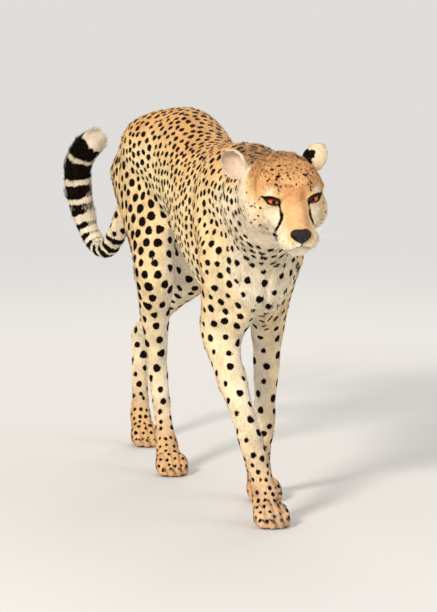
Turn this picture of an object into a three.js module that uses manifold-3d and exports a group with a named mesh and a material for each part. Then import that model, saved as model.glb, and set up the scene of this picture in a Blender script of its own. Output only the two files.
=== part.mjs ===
// A cheetah in mid walk: a still, life-size model that stands on its four paws.
// Millimetres, +Z up. The animal faces -Y and its left side is +X.
// The body is one smooth form of muscles and bones, skinned piece by piece with gaps of CUT between pieces.

import * as THREE from "three";
import { mergeVertices } from "three/addons/utils/BufferGeometryUtils.js";
import Module from "manifold-3d";

const wasm = await Module();
wasm.setup();

// ---------------------------------------------------------------- driving dimensions

const WITHERS = 700; // height of the back over the shoulders
const CROUP = 745; // height of the back over the hips
const CUT = 0.3; // gap between neighbouring pieces
const ROOM = 0.8; // room kept round a faceted piece for the pieces laid against it
const SUNK = 9; // how far a leg's skin runs under the trunk's before the trunk is cut away
const EYE_RADIUS = 16.5;
const TOE_RADIUS = 12;
const CLAW_LENGTH = 15;

const HEAD_CENTRE = at(-51, -446, 649);
const HEAD_YAW = -3.5; // degrees, turned a little towards the animal's right
const HEAD_NOD = 11; // face pointing down
const HEAD_TILT = -3;

const COAT = { color: 0xd9a566, roughness: 0.85, metalness: 0 };
const PALE_COAT = { color: 0xead9bc, roughness: 0.85, metalness: 0 };
const IRIS = { color: 0xb0561a, roughness: 0.15, metalness: 0 };
const LEATHER = { color: 0x1c1614, roughness: 0.45, metalness: 0 };
const HORN = { color: 0x4a3c32, roughness: 0.4, metalness: 0 };

// ---------------------------------------------------------------- soft shapes as distance functions

function at(x, y, z) {
  return new THREE.Vector3(x, y, z);
}

// A ball swept from a to b while its radius goes from ra to rb: a muscle, a bone, a toe.
function tapered(a, b, ra, rb) {
  const along = b.clone().sub(a);
  const length2 = along.lengthSq();
  const rest = new THREE.Vector3();
  return (p) => {
    rest.subVectors(p, a);
    const t = THREE.MathUtils.clamp(rest.dot(along) / length2, 0, 1);
    return rest.addScaledVector(along, -t).length() - THREE.MathUtils.lerp(ra, rb, t);
  };
}

// An ellipsoid, turned by the Euler angles of tilt in degrees.
function bulge(centre, radii, tilt = [0, 0, 0]) {
  const turn = new THREE.Euler(...tilt.map(THREE.MathUtils.degToRad));
  const back = new THREE.Quaternion().setFromEuler(turn).invert();
  const q = new THREE.Vector3();
  const r = new THREE.Vector3(...radii);
  const r2 = r.clone().multiply(r);
  return (p) => {
    q.subVectors(p, centre).applyQuaternion(back);
    const far = Math.max(q.clone().divide(r2).length(), 1e-9);
    const near = q.divide(r).length();
    return (near * (near - 1)) / far;
  };
}

function softMin(a, b, k) {
  const h = Math.max(k - Math.abs(a - b), 0) / k;
  return Math.min(a, b) - h * h * k * 0.25;
}

function joined(k, ...shapes) {
  return (p) => shapes.reduce((d, shape) => softMin(d, shape(p), k), 1e6);
}

// ---------------------------------------------------------------- trunk

// Along the back: y, top, bottom, half width.
const TRUNK_STATIONS = [
  [-150, 624, 424, 56],
  [-90, 662, 388, 72],
  [0, WITHERS - 4, 366, 84],
  [90, WITHERS - 4, 380, 90],
  [180, WITHERS - 4, 416, 90],
  [270, WITHERS + 14, 462, 84],
  [360, CROUP - 4, 504, 82],
  [450, CROUP - 1, 528, 84],
  [540, CROUP - 20, 540, 84],
  [620, CROUP - 58, 552, 80],
];
const trunkSizes = new THREE.CubicInterpolant(
  TRUNK_STATIONS.map((s) => s[0]),
  TRUNK_STATIONS.flatMap((s) => s.slice(1)),
  3,
);
const TRUNK_SQUARENESS = 2.2;

function barrel(p) {
  const first = TRUNK_STATIONS[0][0];
  const last = TRUNK_STATIONS.at(-1)[0];
  const [top, bottom, width] = trunkSizes.evaluate(THREE.MathUtils.clamp(p.y, first, last));
  const up = p.z - (top + bottom) / 2;
  const out = Math.hypot(p.x, up);
  const u = Math.abs(p.x) / width;
  const v = Math.abs(up) / ((top - bottom) / 2);
  const share = (u ** TRUNK_SQUARENESS + v ** TRUNK_SQUARENESS) ** (1 / TRUNK_SQUARENESS);
  const side = share > 1e-6 ? out * (1 - 1 / share) : -width;
  return Math.max(side, first - p.y, p.y - last);
}

const bothSides = (shape) => [shape(-1), shape(1)];

const trunkShape = joined(
  34,
  barrel,
  bulge(at(0, -104, 492), [66, 62, 108], [-8, 0, 0]), // front of the chest
  bulge(at(-2, 624, 638), [85, 66, 85], [20, 0, 0]), // rump
  ...bothSides((s) => bulge(at(s * 40, 10, 630), [34, 60, 70], [16, 0, 0])), // withers over the blades
  ...bothSides((s) => bulge(at(s * 55, 506, 654), [52, 108, 68])), // croup
);

// ---------------------------------------------------------------- neck and head

const headTurn = new THREE.Matrix4().compose(
  HEAD_CENTRE,
  new THREE.Quaternion().setFromEuler(
    new THREE.Euler(
      THREE.MathUtils.degToRad(HEAD_NOD),
      THREE.MathUtils.degToRad(HEAD_TILT),
      THREE.MathUtils.degToRad(HEAD_YAW),
      "ZXY",
    ),
  ),
  at(1, 1, 1),
);
const headBack = headTurn.clone().invert();
const onHead = (x, y, z) => at(x, y, z).applyMatrix4(headTurn);

const neckShape = joined(
  30,
  tapered(at(0, -40, 612), at(-22, -230, 616), 92, 76),
  tapered(at(-22, -230, 616), onHead(0, 58, -12), 78, 64),
  tapered(at(0, -110, 520), at(-24, -250, 580), 72, 56), // throat and front of the neck
);

const EYE = { side: 33.5, fore: -49, up: 8 };
const GAZE = 18; // degrees outwards
const LID = 3.5; // thickness over the eyeball

// In the head's own frame: forward is -Y and the eyes lie near z = 0.
const skull = joined(
  18,
  bulge(at(0, 22, 13), [63, 70, 55]), // braincase
  bulge(at(0, -24, 15), [50, 46, 43], [14, 0, 0]), // brow
  ...bothSides((s) => bulge(at(s * 40, 4, -26), [32, 51, 42], [0, 0, s * 12])), // cheeks
  ...bothSides((s) => tapered(at(s * 24, -52, 26), at(s * 50, -34, 22), 14, 12)), // brow ridges
  ...bothSides((s) => tapered(at(s * 32, -56, -22), at(s * 48, -28, -16), 16, 15)), // cheekbones
  bulge(at(0, 6, -48), [44, 60, 36]), // jaw root
  ...bothSides((s) => bulge(at(s * 38, 66, -18), [34, 58, 52])), // ruff behind the jaw
);
const muzzle = joined(
  13,
  tapered(at(0, -48, -30), at(0, -92, -48), 38, 25),
  tapered(at(0, -36, 20), at(0, -101, -42), 24, 17), // bridge of the nose
  ...bothSides((s) => bulge(at(s * 18, -96, -54), [20, 25, 17])), // whisker pads
  tapered(at(0, -40, -60), at(0, -94, -71), 28, 15), // lower jaw and chin
);
const lids = joined(
  6,
  ...bothSides((s) => bulge(at(s * EYE.side, EYE.fore, EYE.up), Array(3).fill(EYE_RADIUS + LID))),
);
const face = joined(8, joined(14, skull, muzzle), lids);
const facePoint = new THREE.Vector3();
const headShape = (p) => face(facePoint.copy(p).applyMatrix4(headBack));

const bodyShape = (() => {
  const torso = joined(36, trunkShape, neckShape);
  return (p) => softMin(torso(p), headShape(p), 22);
})();

// ---------------------------------------------------------------- legs

// Each foot: where its ball stands, and its heading in degrees, positive towards the animal's left.
function foot(x, y, heading, width = 1) {
  const turn = THREE.MathUtils.degToRad(heading);
  const forward = at(Math.sin(turn), -Math.cos(turn), 0);
  const side = at(Math.cos(turn), Math.sin(turn), 0);
  const place = (fore, left, up) =>
    at(x, y, up).addScaledVector(forward, fore).addScaledVector(side, left * width);
  return { place, forward, side };
}

const TOES = [-22.5, -8, 8, 22.5]; // across the foot
const toeReach = (across) => 47 - 0.021 * across * across;

function toes(f) {
  return TOES.map((across) => {
    const reach = toeReach(across);
    return joined(
      6,
      tapered(f.place(-8, across * 0.6, 31), f.place(18, across, 26), TOE_RADIUS + 1, TOE_RADIUS + 1),
      tapered(f.place(18, across, 26), f.place(reach - 4, across * 1.06, 9), TOE_RADIUS + 1, TOE_RADIUS - 1),
    );
  });
}

function paw(f, ankle, slim) {
  return joined(
    9,
    joined(5, ...toes(f)),
    bulge(f.place(0, 0, 14), [30, 30, 18]), // main pad, pressed flat on the floor
    tapered(ankle, f.place(-14, 0, 27), slim, 22),
    tapered(ankle, f.place(9, 0, 25), slim - 2, 24), // the slope of the instep
  );
}

const grounded = (shape) => (p) => Math.max(shape(p), -TOE_RADIUS / 2 - p.z);

function foreleg(side, j) {
  const mid = j.elbow.clone().lerp(j.carpus, 0.42);
  const heel = j.carpus.clone().add(at(0, 14, -10));
  return grounded(
    joined(
      18,
      joined(
        24,
        bulge(j.blade.clone().lerp(j.shoulder, 0.45), [30, 56, 100], [-44, 0, 0]), // over the shoulder blade
        tapered(j.blade, j.shoulder, 28, 40),
        tapered(j.shoulder, j.elbow, 44, j.forearm),
        tapered(j.shoulder.clone().add(at(-side * 4, 92, 44)), j.elbow.clone().add(at(0, 16, 10)), 40, 18),
        tapered(at(side * 24, j.shoulder.y - 12, 402), j.elbow.clone().add(at(-side * 14, -8, -4)), 32, 24),
        tapered(j.elbow, mid, j.forearm, 25 * j.girth),
      ),
      tapered(mid, j.carpus, 24 * j.girth, 20 * j.girth),
      tapered(j.carpus, j.ankle, 21 * j.girth, 19 * j.girth),
      tapered(heel, heel.clone().add(at(0, 1, -6)), 10, 8), // wrist pad
      paw(j.foot, j.ankle, 19 * j.girth),
    ),
  );
}

function hindleg(side, j) {
  const calf = j.stifle.clone().lerp(j.hock, 0.32).add(at(0, 12, 0));
  const heel = j.hock.clone().add(j.heel);
  return grounded(
    joined(
      14,
      joined(
        28,
        tapered(j.hip, j.stifle, 62, 34),
        tapered(j.seat, j.stifle.clone().add(at(side * 2, 40, 26)), 57, 29),
        tapered(j.flank, j.stifle, 36, 30),
        tapered(j.stifle, calf, 34, 30),
      ),
      tapered(calf, j.hock, 29 * j.girth, 15 * j.girth),
      tapered(calf.clone().add(at(0, 14, 0)), heel, 11, 7), // Achilles tendon
      tapered(heel, j.hock, 10, 15 * j.girth),
      tapered(j.hock, j.ankle, 17 * j.girth, 17 * j.girth),
      paw(j.foot, j.ankle, 17 * j.girth),
    ),
  );
}

const rightForeFoot = foot(-9, -196, 4);
const leftForeFoot = foot(56, 70, 2);
const rightHindFoot = foot(-41, 400, 0, 0.94);
const leftHindFoot = foot(0, 762, 4, 0.94);

const LEGS = [
  {
    name: "foreleg_right",
    side: -1,
    build: foreleg,
    joints: {
      blade: at(-58, 36, 616),
      shoulder: at(-68, -86, 500),
      elbow: at(-59, -28, 340),
      forearm: 33,
      girth: 1.14,
      carpus: at(-35, -170, 158),
      ankle: rightForeFoot.place(-20, 0, 58),
      foot: rightForeFoot,
    },
  },
  {
    name: "foreleg_left",
    side: 1,
    build: foreleg,
    joints: {
      blade: at(58, 52, 618),
      shoulder: at(58, -56, 496),
      elbow: at(62, 44, 346),
      forearm: 29,
      girth: 1.03,
      carpus: at(57, 56, 150),
      ankle: leftForeFoot.place(-16, 0, 58),
      foot: leftForeFoot,
    },
  },
  {
    name: "hindleg_right",
    side: -1,
    build: hindleg,
    joints: {
      hip: at(-50, 532, 608),
      seat: at(-61, 622, 600),
      flank: at(-50, 440, 552),
      stifle: at(-70, 400, 400),
      girth: 1.17,
      hock: at(-46, 470, 190),
      heel: at(0, 26, 14),
      ankle: rightHindFoot.place(-22, 0, 56),
      foot: rightHindFoot,
    },
  },
  {
    name: "hindleg_left",
    side: 1,
    build: hindleg,
    joints: {
      hip: at(48, 538, 606),
      seat: at(46, 616, 584),
      flank: at(48, 500, 530),
      stifle: at(60, 592, 376),
      girth: 1.12,
      hock: at(8, 826, 234),
      heel: at(0, 22, 24),
      ankle: leftHindFoot.place(-24, 0, 60),
      foot: leftHindFoot,
    },
  },
];

// ---------------------------------------------------------------- skinning a shape along an axis

const RAY_STEP = 2.5;
const BISECTIONS = 12;

// How far the surface lies from a point inside the shape, in one direction.
function depthTo(shape, from, direction, reach) {
  const p = new THREE.Vector3();
  const value = (r) => shape(p.copy(from).addScaledVector(direction, r));
  let inside = 0;
  let outside = reach;
  for (let r = RAY_STEP; r < reach; r += RAY_STEP) {
    if (value(r) > 0) {
      outside = r;
      break;
    }
    inside = r;
  }
  if (outside === reach) return reach;
  for (let i = 0; i < BISECTIONS; i++) {
    const middle = (inside + outside) / 2;
    if (value(middle) > 0) outside = middle;
    else inside = middle;
  }
  return inside;
}

// Rings of points round an axis, from the length `from` to the length `to` along it. An end is flat, or round where
// the rays fan out over `fan` more rings from the axis's end.
function skinAlong(axis, shape, { from, to, rings, around, reach, roundStart = 0, roundEnd = 0, up }) {
  const length = axis.getLength();
  const rows = [];
  const ring = (distance, lean, shift) => {
    const t = THREE.MathUtils.clamp(distance / length, 0, 1);
    const tangent = axis.getTangentAt(t);
    const origin = axis.getPointAt(t).addScaledVector(tangent, shift);
    const across = new THREE.Vector3().crossVectors(tangent, up).normalize();
    const above = new THREE.Vector3().crossVectors(across, tangent);
    const row = [];
    for (let k = 0; k < around; k++) {
      const angle = (2 * Math.PI * k) / around;
      const direction = new THREE.Vector3()
        .addScaledVector(across, Math.cos(angle) * Math.cos(lean))
        .addScaledVector(above, Math.sin(angle) * Math.cos(lean))
        .addScaledVector(tangent, Math.sin(lean));
      row.push(origin.clone().addScaledVector(direction, depthTo(shape, origin, direction, reach)));
    }
    return row;
  };
  const pole = (distance, sign) => {
    const t = distance / length;
    const tangent = axis.getTangentAt(t).multiplyScalar(sign);
    const origin = axis.getPointAt(t);
    return origin.clone().addScaledVector(tangent, depthTo(shape, origin, tangent, reach));
  };
  for (let i = 1; i <= roundStart; i++) {
    rows.push(ring(from, (-Math.PI / 2) * (1 - i / (roundStart + 1)), 0));
  }
  for (let i = 0; i <= rings; i++) {
    const shift = i === 0 && !roundStart ? CUT / 2 : i === rings && !roundEnd ? -CUT / 2 : 0;
    rows.push(ring(from + ((to - from) * i) / rings, 0, shift));
  }
  for (let i = 1; i <= roundEnd; i++) {
    rows.push(ring(to, ((Math.PI / 2) * i) / (roundEnd + 1), 0));
  }
  const middle = (row) =>
    row.reduce((sum, p) => sum.add(p), new THREE.Vector3()).multiplyScalar(1 / row.length);
  const first = roundStart ? pole(from, -1) : middle(rows[0]);
  const last = roundEnd ? pole(to, 1) : middle(rows.at(-1));
  return closedSkin(rows, first, last);
}

// Rows of points, closed by one point at each end, as a geometry with its faces out.
function closedSkin(rows, first, last) {
  const around = rows[0].length;
  const points = [first, ...rows.flat(), last];
  const index = [];
  const corner = (row, k) => 1 + row * around + (k % around);
  for (let k = 0; k < around; k++) {
    index.push(0, corner(0, k), corner(0, k + 1));
    index.push(points.length - 1, corner(rows.length - 1, k + 1), corner(rows.length - 1, k));
  }
  for (let row = 0; row + 1 < rows.length; row++) {
    for (let k = 0; k < around; k++) {
      const [a, b, c, d] = [corner(row, k), corner(row, k + 1), corner(row + 1, k), corner(row + 1, k + 1)];
      if (points[a].distanceToSquared(points[d]) < points[b].distanceToSquared(points[c])) {
        index.push(a, d, b, a, c, d);
      } else {
        index.push(a, c, b, b, c, d);
      }
    }
  }
  return new THREE.BufferGeometry().setFromPoints(points).setIndex(index);
}

// ---------------------------------------------------------------- solids and meshes

function solid(geometry) {
  const bare = geometry.clone();
  bare.deleteAttribute("normal");
  bare.deleteAttribute("uv");
  const merged = mergeVertices(bare, 1e-3);
  const vertProperties = new Float32Array(merged.attributes.position.array);
  const triVerts = new Uint32Array(merged.index.array);
  const made = new wasm.Manifold(new wasm.Mesh({ numProp: 3, vertProperties, triVerts }));
  if (made.volume() > 0) return made;
  for (let i = 0; i < triVerts.length; i += 3) {
    [triVerts[i], triVerts[i + 1]] = [triVerts[i + 1], triVerts[i]];
  }
  return new wasm.Manifold(new wasm.Mesh({ numProp: 3, vertProperties, triVerts }));
}

// The same skin with every corner moved out, to cut away from whatever is laid against it.
function roomFor(geometry) {
  const wider = mergeVertices(geometry, 1e-3);
  wider.computeVertexNormals();
  const { position, normal } = wider.attributes;
  for (let i = 0; i < position.count; i++) {
    const moved = new THREE.Vector3().fromBufferAttribute(position, i);
    moved.addScaledVector(new THREE.Vector3().fromBufferAttribute(normal, i), ROOM);
    position.setXYZ(i, ...moved);
  }
  return solid(wider).add(solid(geometry));
}

const largest = (made) =>
  made.decompose().reduce((best, piece) => (piece.volume() > best.volume() ? piece : best));

const cheetah = new THREE.Group();

function add(name, made, look) {
  const { numProp, vertProperties, triVerts } = largest(made).getMesh();
  const points = new Float32Array((vertProperties.length / numProp) * 3);
  for (let i = 0; i < points.length / 3; i++) {
    points.set(vertProperties.subarray(i * numProp, i * numProp + 3), i * 3);
  }
  const geometry = new THREE.BufferGeometry()
    .setAttribute("position", new THREE.BufferAttribute(points, 3))
    .setIndex(new THREE.BufferAttribute(new Uint32Array(triVerts), 1));
  const mesh = new THREE.Mesh(geometry, new THREE.MeshStandardMaterial(look));
  mesh.name = name;
  cheetah.add(mesh);
  return mesh;
}

// ---------------------------------------------------------------- trunk, neck and head pieces

const spine = new THREE.CatmullRomCurve3(
  [
    at(0, 618, 668),
    at(0, 500, 655),
    at(0, 340, 622),
    at(0, 180, 570),
    at(0, 30, 550),
    at(-4, -100, 572),
    at(-18, -215, 604),
    onHead(0, 60, -4),
    onHead(0, 0, -8),
    onHead(0, -50, -22),
    onHead(0, -92, -42),
  ],
  false,
  "centripetal",
);
const spineLength = spine.getLength();
const NECK_AT = spineLength - 405;
const HEAD_AT = spineLength - 178;

const grown = (shape, by) => (p) => shape(p) - by;

function torso() {
  const whole = { from: 0, to: spineLength, up: at(0, 0, 1) };
  return {
    trunk: skinAlong(spine, bodyShape, {
      ...whole,
      to: NECK_AT,
      rings: 20,
      around: 22,
      reach: 300,
      roundStart: 3,
    }),
    neck: skinAlong(spine, bodyShape, {
      ...whole,
      from: NECK_AT,
      to: HEAD_AT,
      rings: 6,
      around: 18,
      reach: 200,
    }),
    head: skinAlong(spine, bodyShape, {
      ...whole,
      from: HEAD_AT,
      rings: 15,
      around: 30,
      reach: 140,
      roundEnd: 5,
    }),
  };
}

const torsoSkin = torso();
const trunkRoom = roomFor(torsoSkin.trunk);

// ---------------------------------------------------------------- eyes, nose and ears

const inHead = (matrix) => headTurn.clone().multiply(matrix);
const turned = (...degrees) =>
  new THREE.Quaternion().setFromEuler(new THREE.Euler(...degrees.map(THREE.MathUtils.degToRad), "ZYX"));

function eyeball(side, radius) {
  const ball = new THREE.SphereGeometry(radius, 10, 8);
  return ball.applyMatrix4(
    inHead(new THREE.Matrix4().makeTranslation(side * EYE.side, EYE.fore, EYE.up)),
  );
}

// The almond between the lids, cut out in front of the eyeball.
function lidOpening(side) {
  const almond = new THREE.SphereGeometry(1, 10, 6);
  const gaze = THREE.MathUtils.degToRad(GAZE);
  const front = at(side * Math.sin(gaze), -Math.cos(gaze), 0).multiplyScalar(EYE_RADIUS + LID);
  return almond.applyMatrix4(
    inHead(
      new THREE.Matrix4().compose(
        front.add(at(side * EYE.side, EYE.fore, EYE.up)),
        turned(0, side * -8, side * GAZE),
        at(13, 9, 6.6),
      ),
    ),
  );
}

// The nose leather: broad above, drawn in to the lip below.
function noseLeather(by) {
  const pad = new THREE.SphereGeometry(1, 10, 8);
  const points = pad.attributes.position;
  for (let i = 0; i < points.count; i++) {
    const [x, y, z] = [points.getX(i), points.getY(i), points.getZ(i)];
    const breadth = 0.5 + 0.5 * THREE.MathUtils.smoothstep(z, -1, 0.3);
    points.setXYZ(i, x * (19.5 + by) * breadth, -115 + y * (12 + by) + z * 3, -43 + z * (12 + by));
  }
  return pad.applyMatrix4(headTurn);
}

// An ear is a thin cup, turned in degrees: tipped towards its hollow, leant outwards, and its hollow turned
// outwards. The right one listens forwards and the left one backwards.
const EAR = { back: 60, up: 34, width: 27, depth: 19, height: 31, wall: 3.5 };
const EAR_TURN = { "-1": [-4, 46, 40], 1: [36, 0, 124] };
const EAR_SIDE = { "-1": 74, 1: 62 };

function ear(side) {
  const leaf = (less, fore, up) =>
    new THREE.SphereGeometry(1, 10, 6)
      .scale(EAR.width - less, EAR.depth - less * 0.4, EAR.height - less)
      .translate(0, fore, 12 + up);
  const cup = solid(leaf(0, 0, 0))
    .subtract(solid(leaf(EAR.wall, -EAR.wall * 0.6, 1)))
    .trimByPlane([0, 1, 0], -5);
  const world = inHead(
    new THREE.Matrix4().compose(
      at(side * EAR_SIDE[side], EAR.back, EAR.up),
      turned(EAR_TURN[side][0], side * EAR_TURN[side][1], side * EAR_TURN[side][2]),
      at(1, 1, 1),
    ),
  );
  return cup.transform(world.elements);
}

let headSolid = solid(torsoSkin.head);
const headRoom = roomFor(torsoSkin.head);
const neckRoom = roomFor(torsoSkin.neck);
for (const side of [-1, 1]) {
  headSolid = headSolid.subtract(solid(eyeball(side, EYE_RADIUS + CUT))).subtract(solid(lidOpening(side)));
}
headSolid = headSolid.subtract(solid(noseLeather(CUT)));

add("trunk", solid(torsoSkin.trunk), COAT);
add("neck", solid(torsoSkin.neck), COAT);
add("head", headSolid, COAT);
for (const [name, side] of [["right", -1], ["left", 1]]) {
  add(`eye_${name}`, solid(eyeball(side, EYE_RADIUS)), IRIS);
  add(`ear_${name}`, ear(side).subtract(headRoom).subtract(neckRoom), PALE_COAT);
}
add("nose", solid(noseLeather(0)), LEATHER);

// ---------------------------------------------------------------- leg pieces

// A short, blunt, slightly hooked claw at the tip of a toe.
function claw(root, forward) {
  const cone = new THREE.ConeGeometry(3.4, CLAW_LENGTH, 5, 2);
  const points = cone.attributes.position;
  for (let i = 0; i < points.count; i++) {
    const along = points.getY(i) / CLAW_LENGTH + 0.5;
    points.setZ(i, points.getZ(i) * 1.25 + 3.2 * along * along);
  }
  const down = at(0, 0, -1);
  const side = new THREE.Vector3().crossVectors(forward, down);
  const basis = new THREE.Matrix4().makeBasis(side, forward, down).setPosition(root);
  return solid(cone.applyMatrix4(basis));
}

for (const leg of LEGS) {
  const j = leg.joints;
  const shape = leg.build(leg.side, j);
  const withTrunk = (p) => softMin(shape(p), grown(trunkShape, -SUNK)(p), 16);
  const top = leg.build === foreleg ? [j.blade, j.shoulder, j.elbow, j.carpus] : [j.hip, j.stifle, j.hock];
  const axis = new THREE.CatmullRomCurve3(
    [...top, j.ankle, j.foot.place(-2, 0, 28), j.foot.place(20, 0, 17)],
    false,
    "centripetal",
  );
  const length = axis.getLength();
  const fore = leg.build === foreleg;
  const kneeAt = fore ? lengthNear(axis, j.elbow) + 30 : lengthNear(axis, j.stifle) + 30;
  const ankleAt = lengthNear(axis, j.ankle) - 18;
  const common = { up: at(0.15, -1, 0.1).normalize() };
  const upper = skinAlong(axis, withTrunk, {
    ...common,
    from: 0,
    to: kneeAt,
    rings: fore ? 9 : 8,
    around: 14,
    reach: fore ? 104 : 150,
    roundStart: 3,
  });
  const lower = skinAlong(axis, shape, {
    ...common,
    from: kneeAt,
    to: ankleAt,
    rings: 8,
    around: 12,
    reach: 70,
  });
  const pawSkin = skinAlong(axis, shape, {
    ...common,
    from: ankleAt,
    to: length,
    rings: 5,
    around: 20,
    reach: 70,
    roundEnd: 4,
  });
  const thigh = solid(upper).subtract(trunkRoom).subtract(neckRoom);
  add(`${leg.name}_upper`, thigh.trimByPlane([leg.side, 0, 0], CUT / 2), COAT);
  add(`${leg.name}_lower`, solid(lower), COAT);
  const pawSolid = solid(pawSkin).trimByPlane([0, 0, 1], 0);
  add(leg.name.replace("leg", "paw"), pawSolid, PALE_COAT);
  TOES.forEach((across, i) => {
    const reach = toeReach(across);
    const root = j.foot.place(reach + 7, across * 1.06, 15);
    const gap = j.foot.forward.clone().multiplyScalar(CUT);
    const piece = claw(root, j.foot.forward).subtract(pawSolid).translate(gap.toArray());
    add(`${leg.name.replace("leg", "claw")}_${i + 1}`, piece, HORN);
  });
}

function lengthNear(axis, point) {
  const steps = 400;
  const gaps = axis.getSpacedPoints(steps).map((p) => p.distanceTo(point));
  return (axis.getLength() * gaps.indexOf(Math.min(...gaps))) / steps;
}

// ---------------------------------------------------------------- tail

const TAIL_ROUTE = [
  at(0, 618, 664),
  at(-1, 668, 662),
  at(-3, 708, 634),
  at(-14, 740, 578),
  at(-33, 764, 514),
  at(-49, 788, 458),
  at(-59, 812, 421),
  at(-70, 844, 411),
  at(-85, 874, 434),
  at(-98, 890, 480),
  at(-107, 896, 530),
  at(-112, 894, 578),
  at(-103, 882, 618),
  at(-86, 866, 638),
];
const tailAxis = new THREE.CatmullRomCurve3(TAIL_ROUTE, false, "centripetal");
const tailLength = tailAxis.getLength();

function tailShape() {
  const steps = 40;
  const balls = [];
  for (let i = 0; i < steps; i++) {
    const [a, b] = [i / steps, (i + 1) / steps];
    balls.push([tailAxis.getPointAt(a), tailAxis.getPointAt(b), tailRadius(a), tailRadius(b)]);
  }
  return balls.map((ball) => tapered(...ball));
}

// Thick at the root, slim, then fuller where the tip's longer fur stands out.
function tailRadius(t) {
  const root = 10 * Math.exp(-t * 9);
  const brush = 8 * THREE.MathUtils.smoothstep(t, 0.62, 0.86);
  return 23 + root + brush;
}

const tailLinks = tailShape();
const wholeTail = (p) => tailLinks.reduce((d, link) => Math.min(d, link(p)), 1e6);
["tail_base", "tail_middle", "tail_tip"].forEach((name, i, names) => {
  // Each length only meets its own stretch of the tail, as the curl's two arms lie close together.
  const near = tailLinks.filter((_, k) => Math.abs((k + 0.5) / tailLinks.length - (i + 0.5) / 3) < 0.25);
  const shape = i === 1 ? (p) => near.reduce((d, link) => Math.min(d, link(p)), 1e6) : wholeTail;
  const skin = skinAlong(tailAxis, shape, {
    up: at(1, 0.05, 0.02).normalize(),
    from: (tailLength * i) / names.length,
    to: (tailLength * (i + 1)) / names.length,
    rings: 8,
    around: 10,
    reach: 45,
    roundEnd: i === 2 ? 4 : 0,
  });
  add(name, i === 0 ? solid(skin).subtract(trunkRoom) : solid(skin), COAT);
});

// ---------------------------------------------------------------- origin: on the floor under the middle

const box = new THREE.Box3().setFromObject(cheetah);
const middle = box.getCenter(new THREE.Vector3());
for (const mesh of cheetah.children) mesh.position.set(-middle.x, -middle.y, -box.min.z);

export default cheetah;
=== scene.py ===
"""A cheetah in mid walk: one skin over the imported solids, with its coat, eyes, nose, claws and whiskers."""
import itertools
import math
from types import SimpleNamespace

import bmesh
import bpy
import numpy as np
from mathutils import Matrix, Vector
from mathutils.bvhtree import BVHTree
from mathutils.kdtree import KDTree


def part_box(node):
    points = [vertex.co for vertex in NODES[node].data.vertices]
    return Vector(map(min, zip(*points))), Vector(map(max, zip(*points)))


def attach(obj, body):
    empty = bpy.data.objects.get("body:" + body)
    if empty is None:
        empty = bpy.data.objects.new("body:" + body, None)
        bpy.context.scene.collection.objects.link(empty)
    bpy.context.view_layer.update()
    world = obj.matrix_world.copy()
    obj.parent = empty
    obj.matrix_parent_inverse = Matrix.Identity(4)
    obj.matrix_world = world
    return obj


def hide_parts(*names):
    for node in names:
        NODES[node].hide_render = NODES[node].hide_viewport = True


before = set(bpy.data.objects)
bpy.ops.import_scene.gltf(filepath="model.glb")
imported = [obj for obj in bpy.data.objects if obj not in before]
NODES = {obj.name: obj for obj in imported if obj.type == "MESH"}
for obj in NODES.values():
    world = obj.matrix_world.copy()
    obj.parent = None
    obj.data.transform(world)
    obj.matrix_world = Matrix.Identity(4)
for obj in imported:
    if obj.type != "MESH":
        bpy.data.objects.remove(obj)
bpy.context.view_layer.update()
MM = 0.001  # one millimetre, in the metres of the frame
FAR = 99.0  # mm, for a place too far from a line or an outline for its distance to matter


# ---- small numeric helpers

def unit(v):
    v = np.asarray(v, float)
    return v / np.maximum(np.linalg.norm(v, axis=-1, keepdims=True), 1e-12)


def lengths_of(rows):
    return np.linalg.norm(rows, axis=1)


def step(x, a, b):
    """0 up to a and 1 from b on, with a smooth rise between. a may be the larger one."""
    t = np.clip((x - a) / (b - a), 0, 1)
    return t * t * (3 - 2 * t)


def bell(d, width):
    return np.exp(-((d / width) ** 2))


def most(*weights):
    return np.maximum.reduce(weights)


def mix(a, b, t):
    t = np.asarray(t)[..., None] if np.ndim(a) > np.ndim(t) else t
    return a + (b - a) * t


def srgb(code):
    c = np.array([int(code[i:i + 2], 16) / 255 for i in (0, 2, 4)])
    return np.where(c <= 0.04045, c / 12.92, ((c + 0.055) / 1.055) ** 2.4)


def along_line(p, points):
    """Distance from each point of p to a polyline, and how far along it (0 to 1) the nearest point lies."""
    points = np.asarray(points, float)
    best = np.full(len(p), np.inf)
    place = np.zeros(len(p))
    lengths = lengths_of(np.diff(points, axis=0))
    start = np.concatenate([[0], np.cumsum(lengths)])
    for i, (a, b) in enumerate(zip(points[:-1], points[1:])):
        t = np.clip((p - a) @ (b - a) / lengths[i] ** 2, 0, 1)
        d = lengths_of(p - (a + t[:, None] * (b - a)))
        near = d < best
        best[near] = d[near]
        place[near] = (start[i] + t[near] * lengths[i]) / start[-1]
    return best, place


def curve_through(points, count):
    """A smooth curve through the points, as count points evenly spaced."""
    p = np.asarray(points, float)
    p = np.vstack([2 * p[0] - p[1], p, 2 * p[-1] - p[-2]])
    out = []
    for i in range(1, len(p) - 2):
        t = np.linspace(0, 1, 24, endpoint=False)[:, None]
        a, b, c, d = p[i - 1:i + 3]
        bends = (2 * a - 5 * b + 4 * c - d) * t ** 2
        out.append(0.5 * (2 * b + (c - a) * t + bends + (3 * b - a - 3 * c + d) * t ** 3))
    out = np.vstack(out + [p[-2:-1]])
    gone = np.concatenate([[0], np.cumsum(lengths_of(np.diff(out, axis=0)))])
    want = np.linspace(0, gone[-1], count)
    return np.stack([np.interp(want, gone, out[:, k]) for k in range(3)], axis=1)


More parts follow.
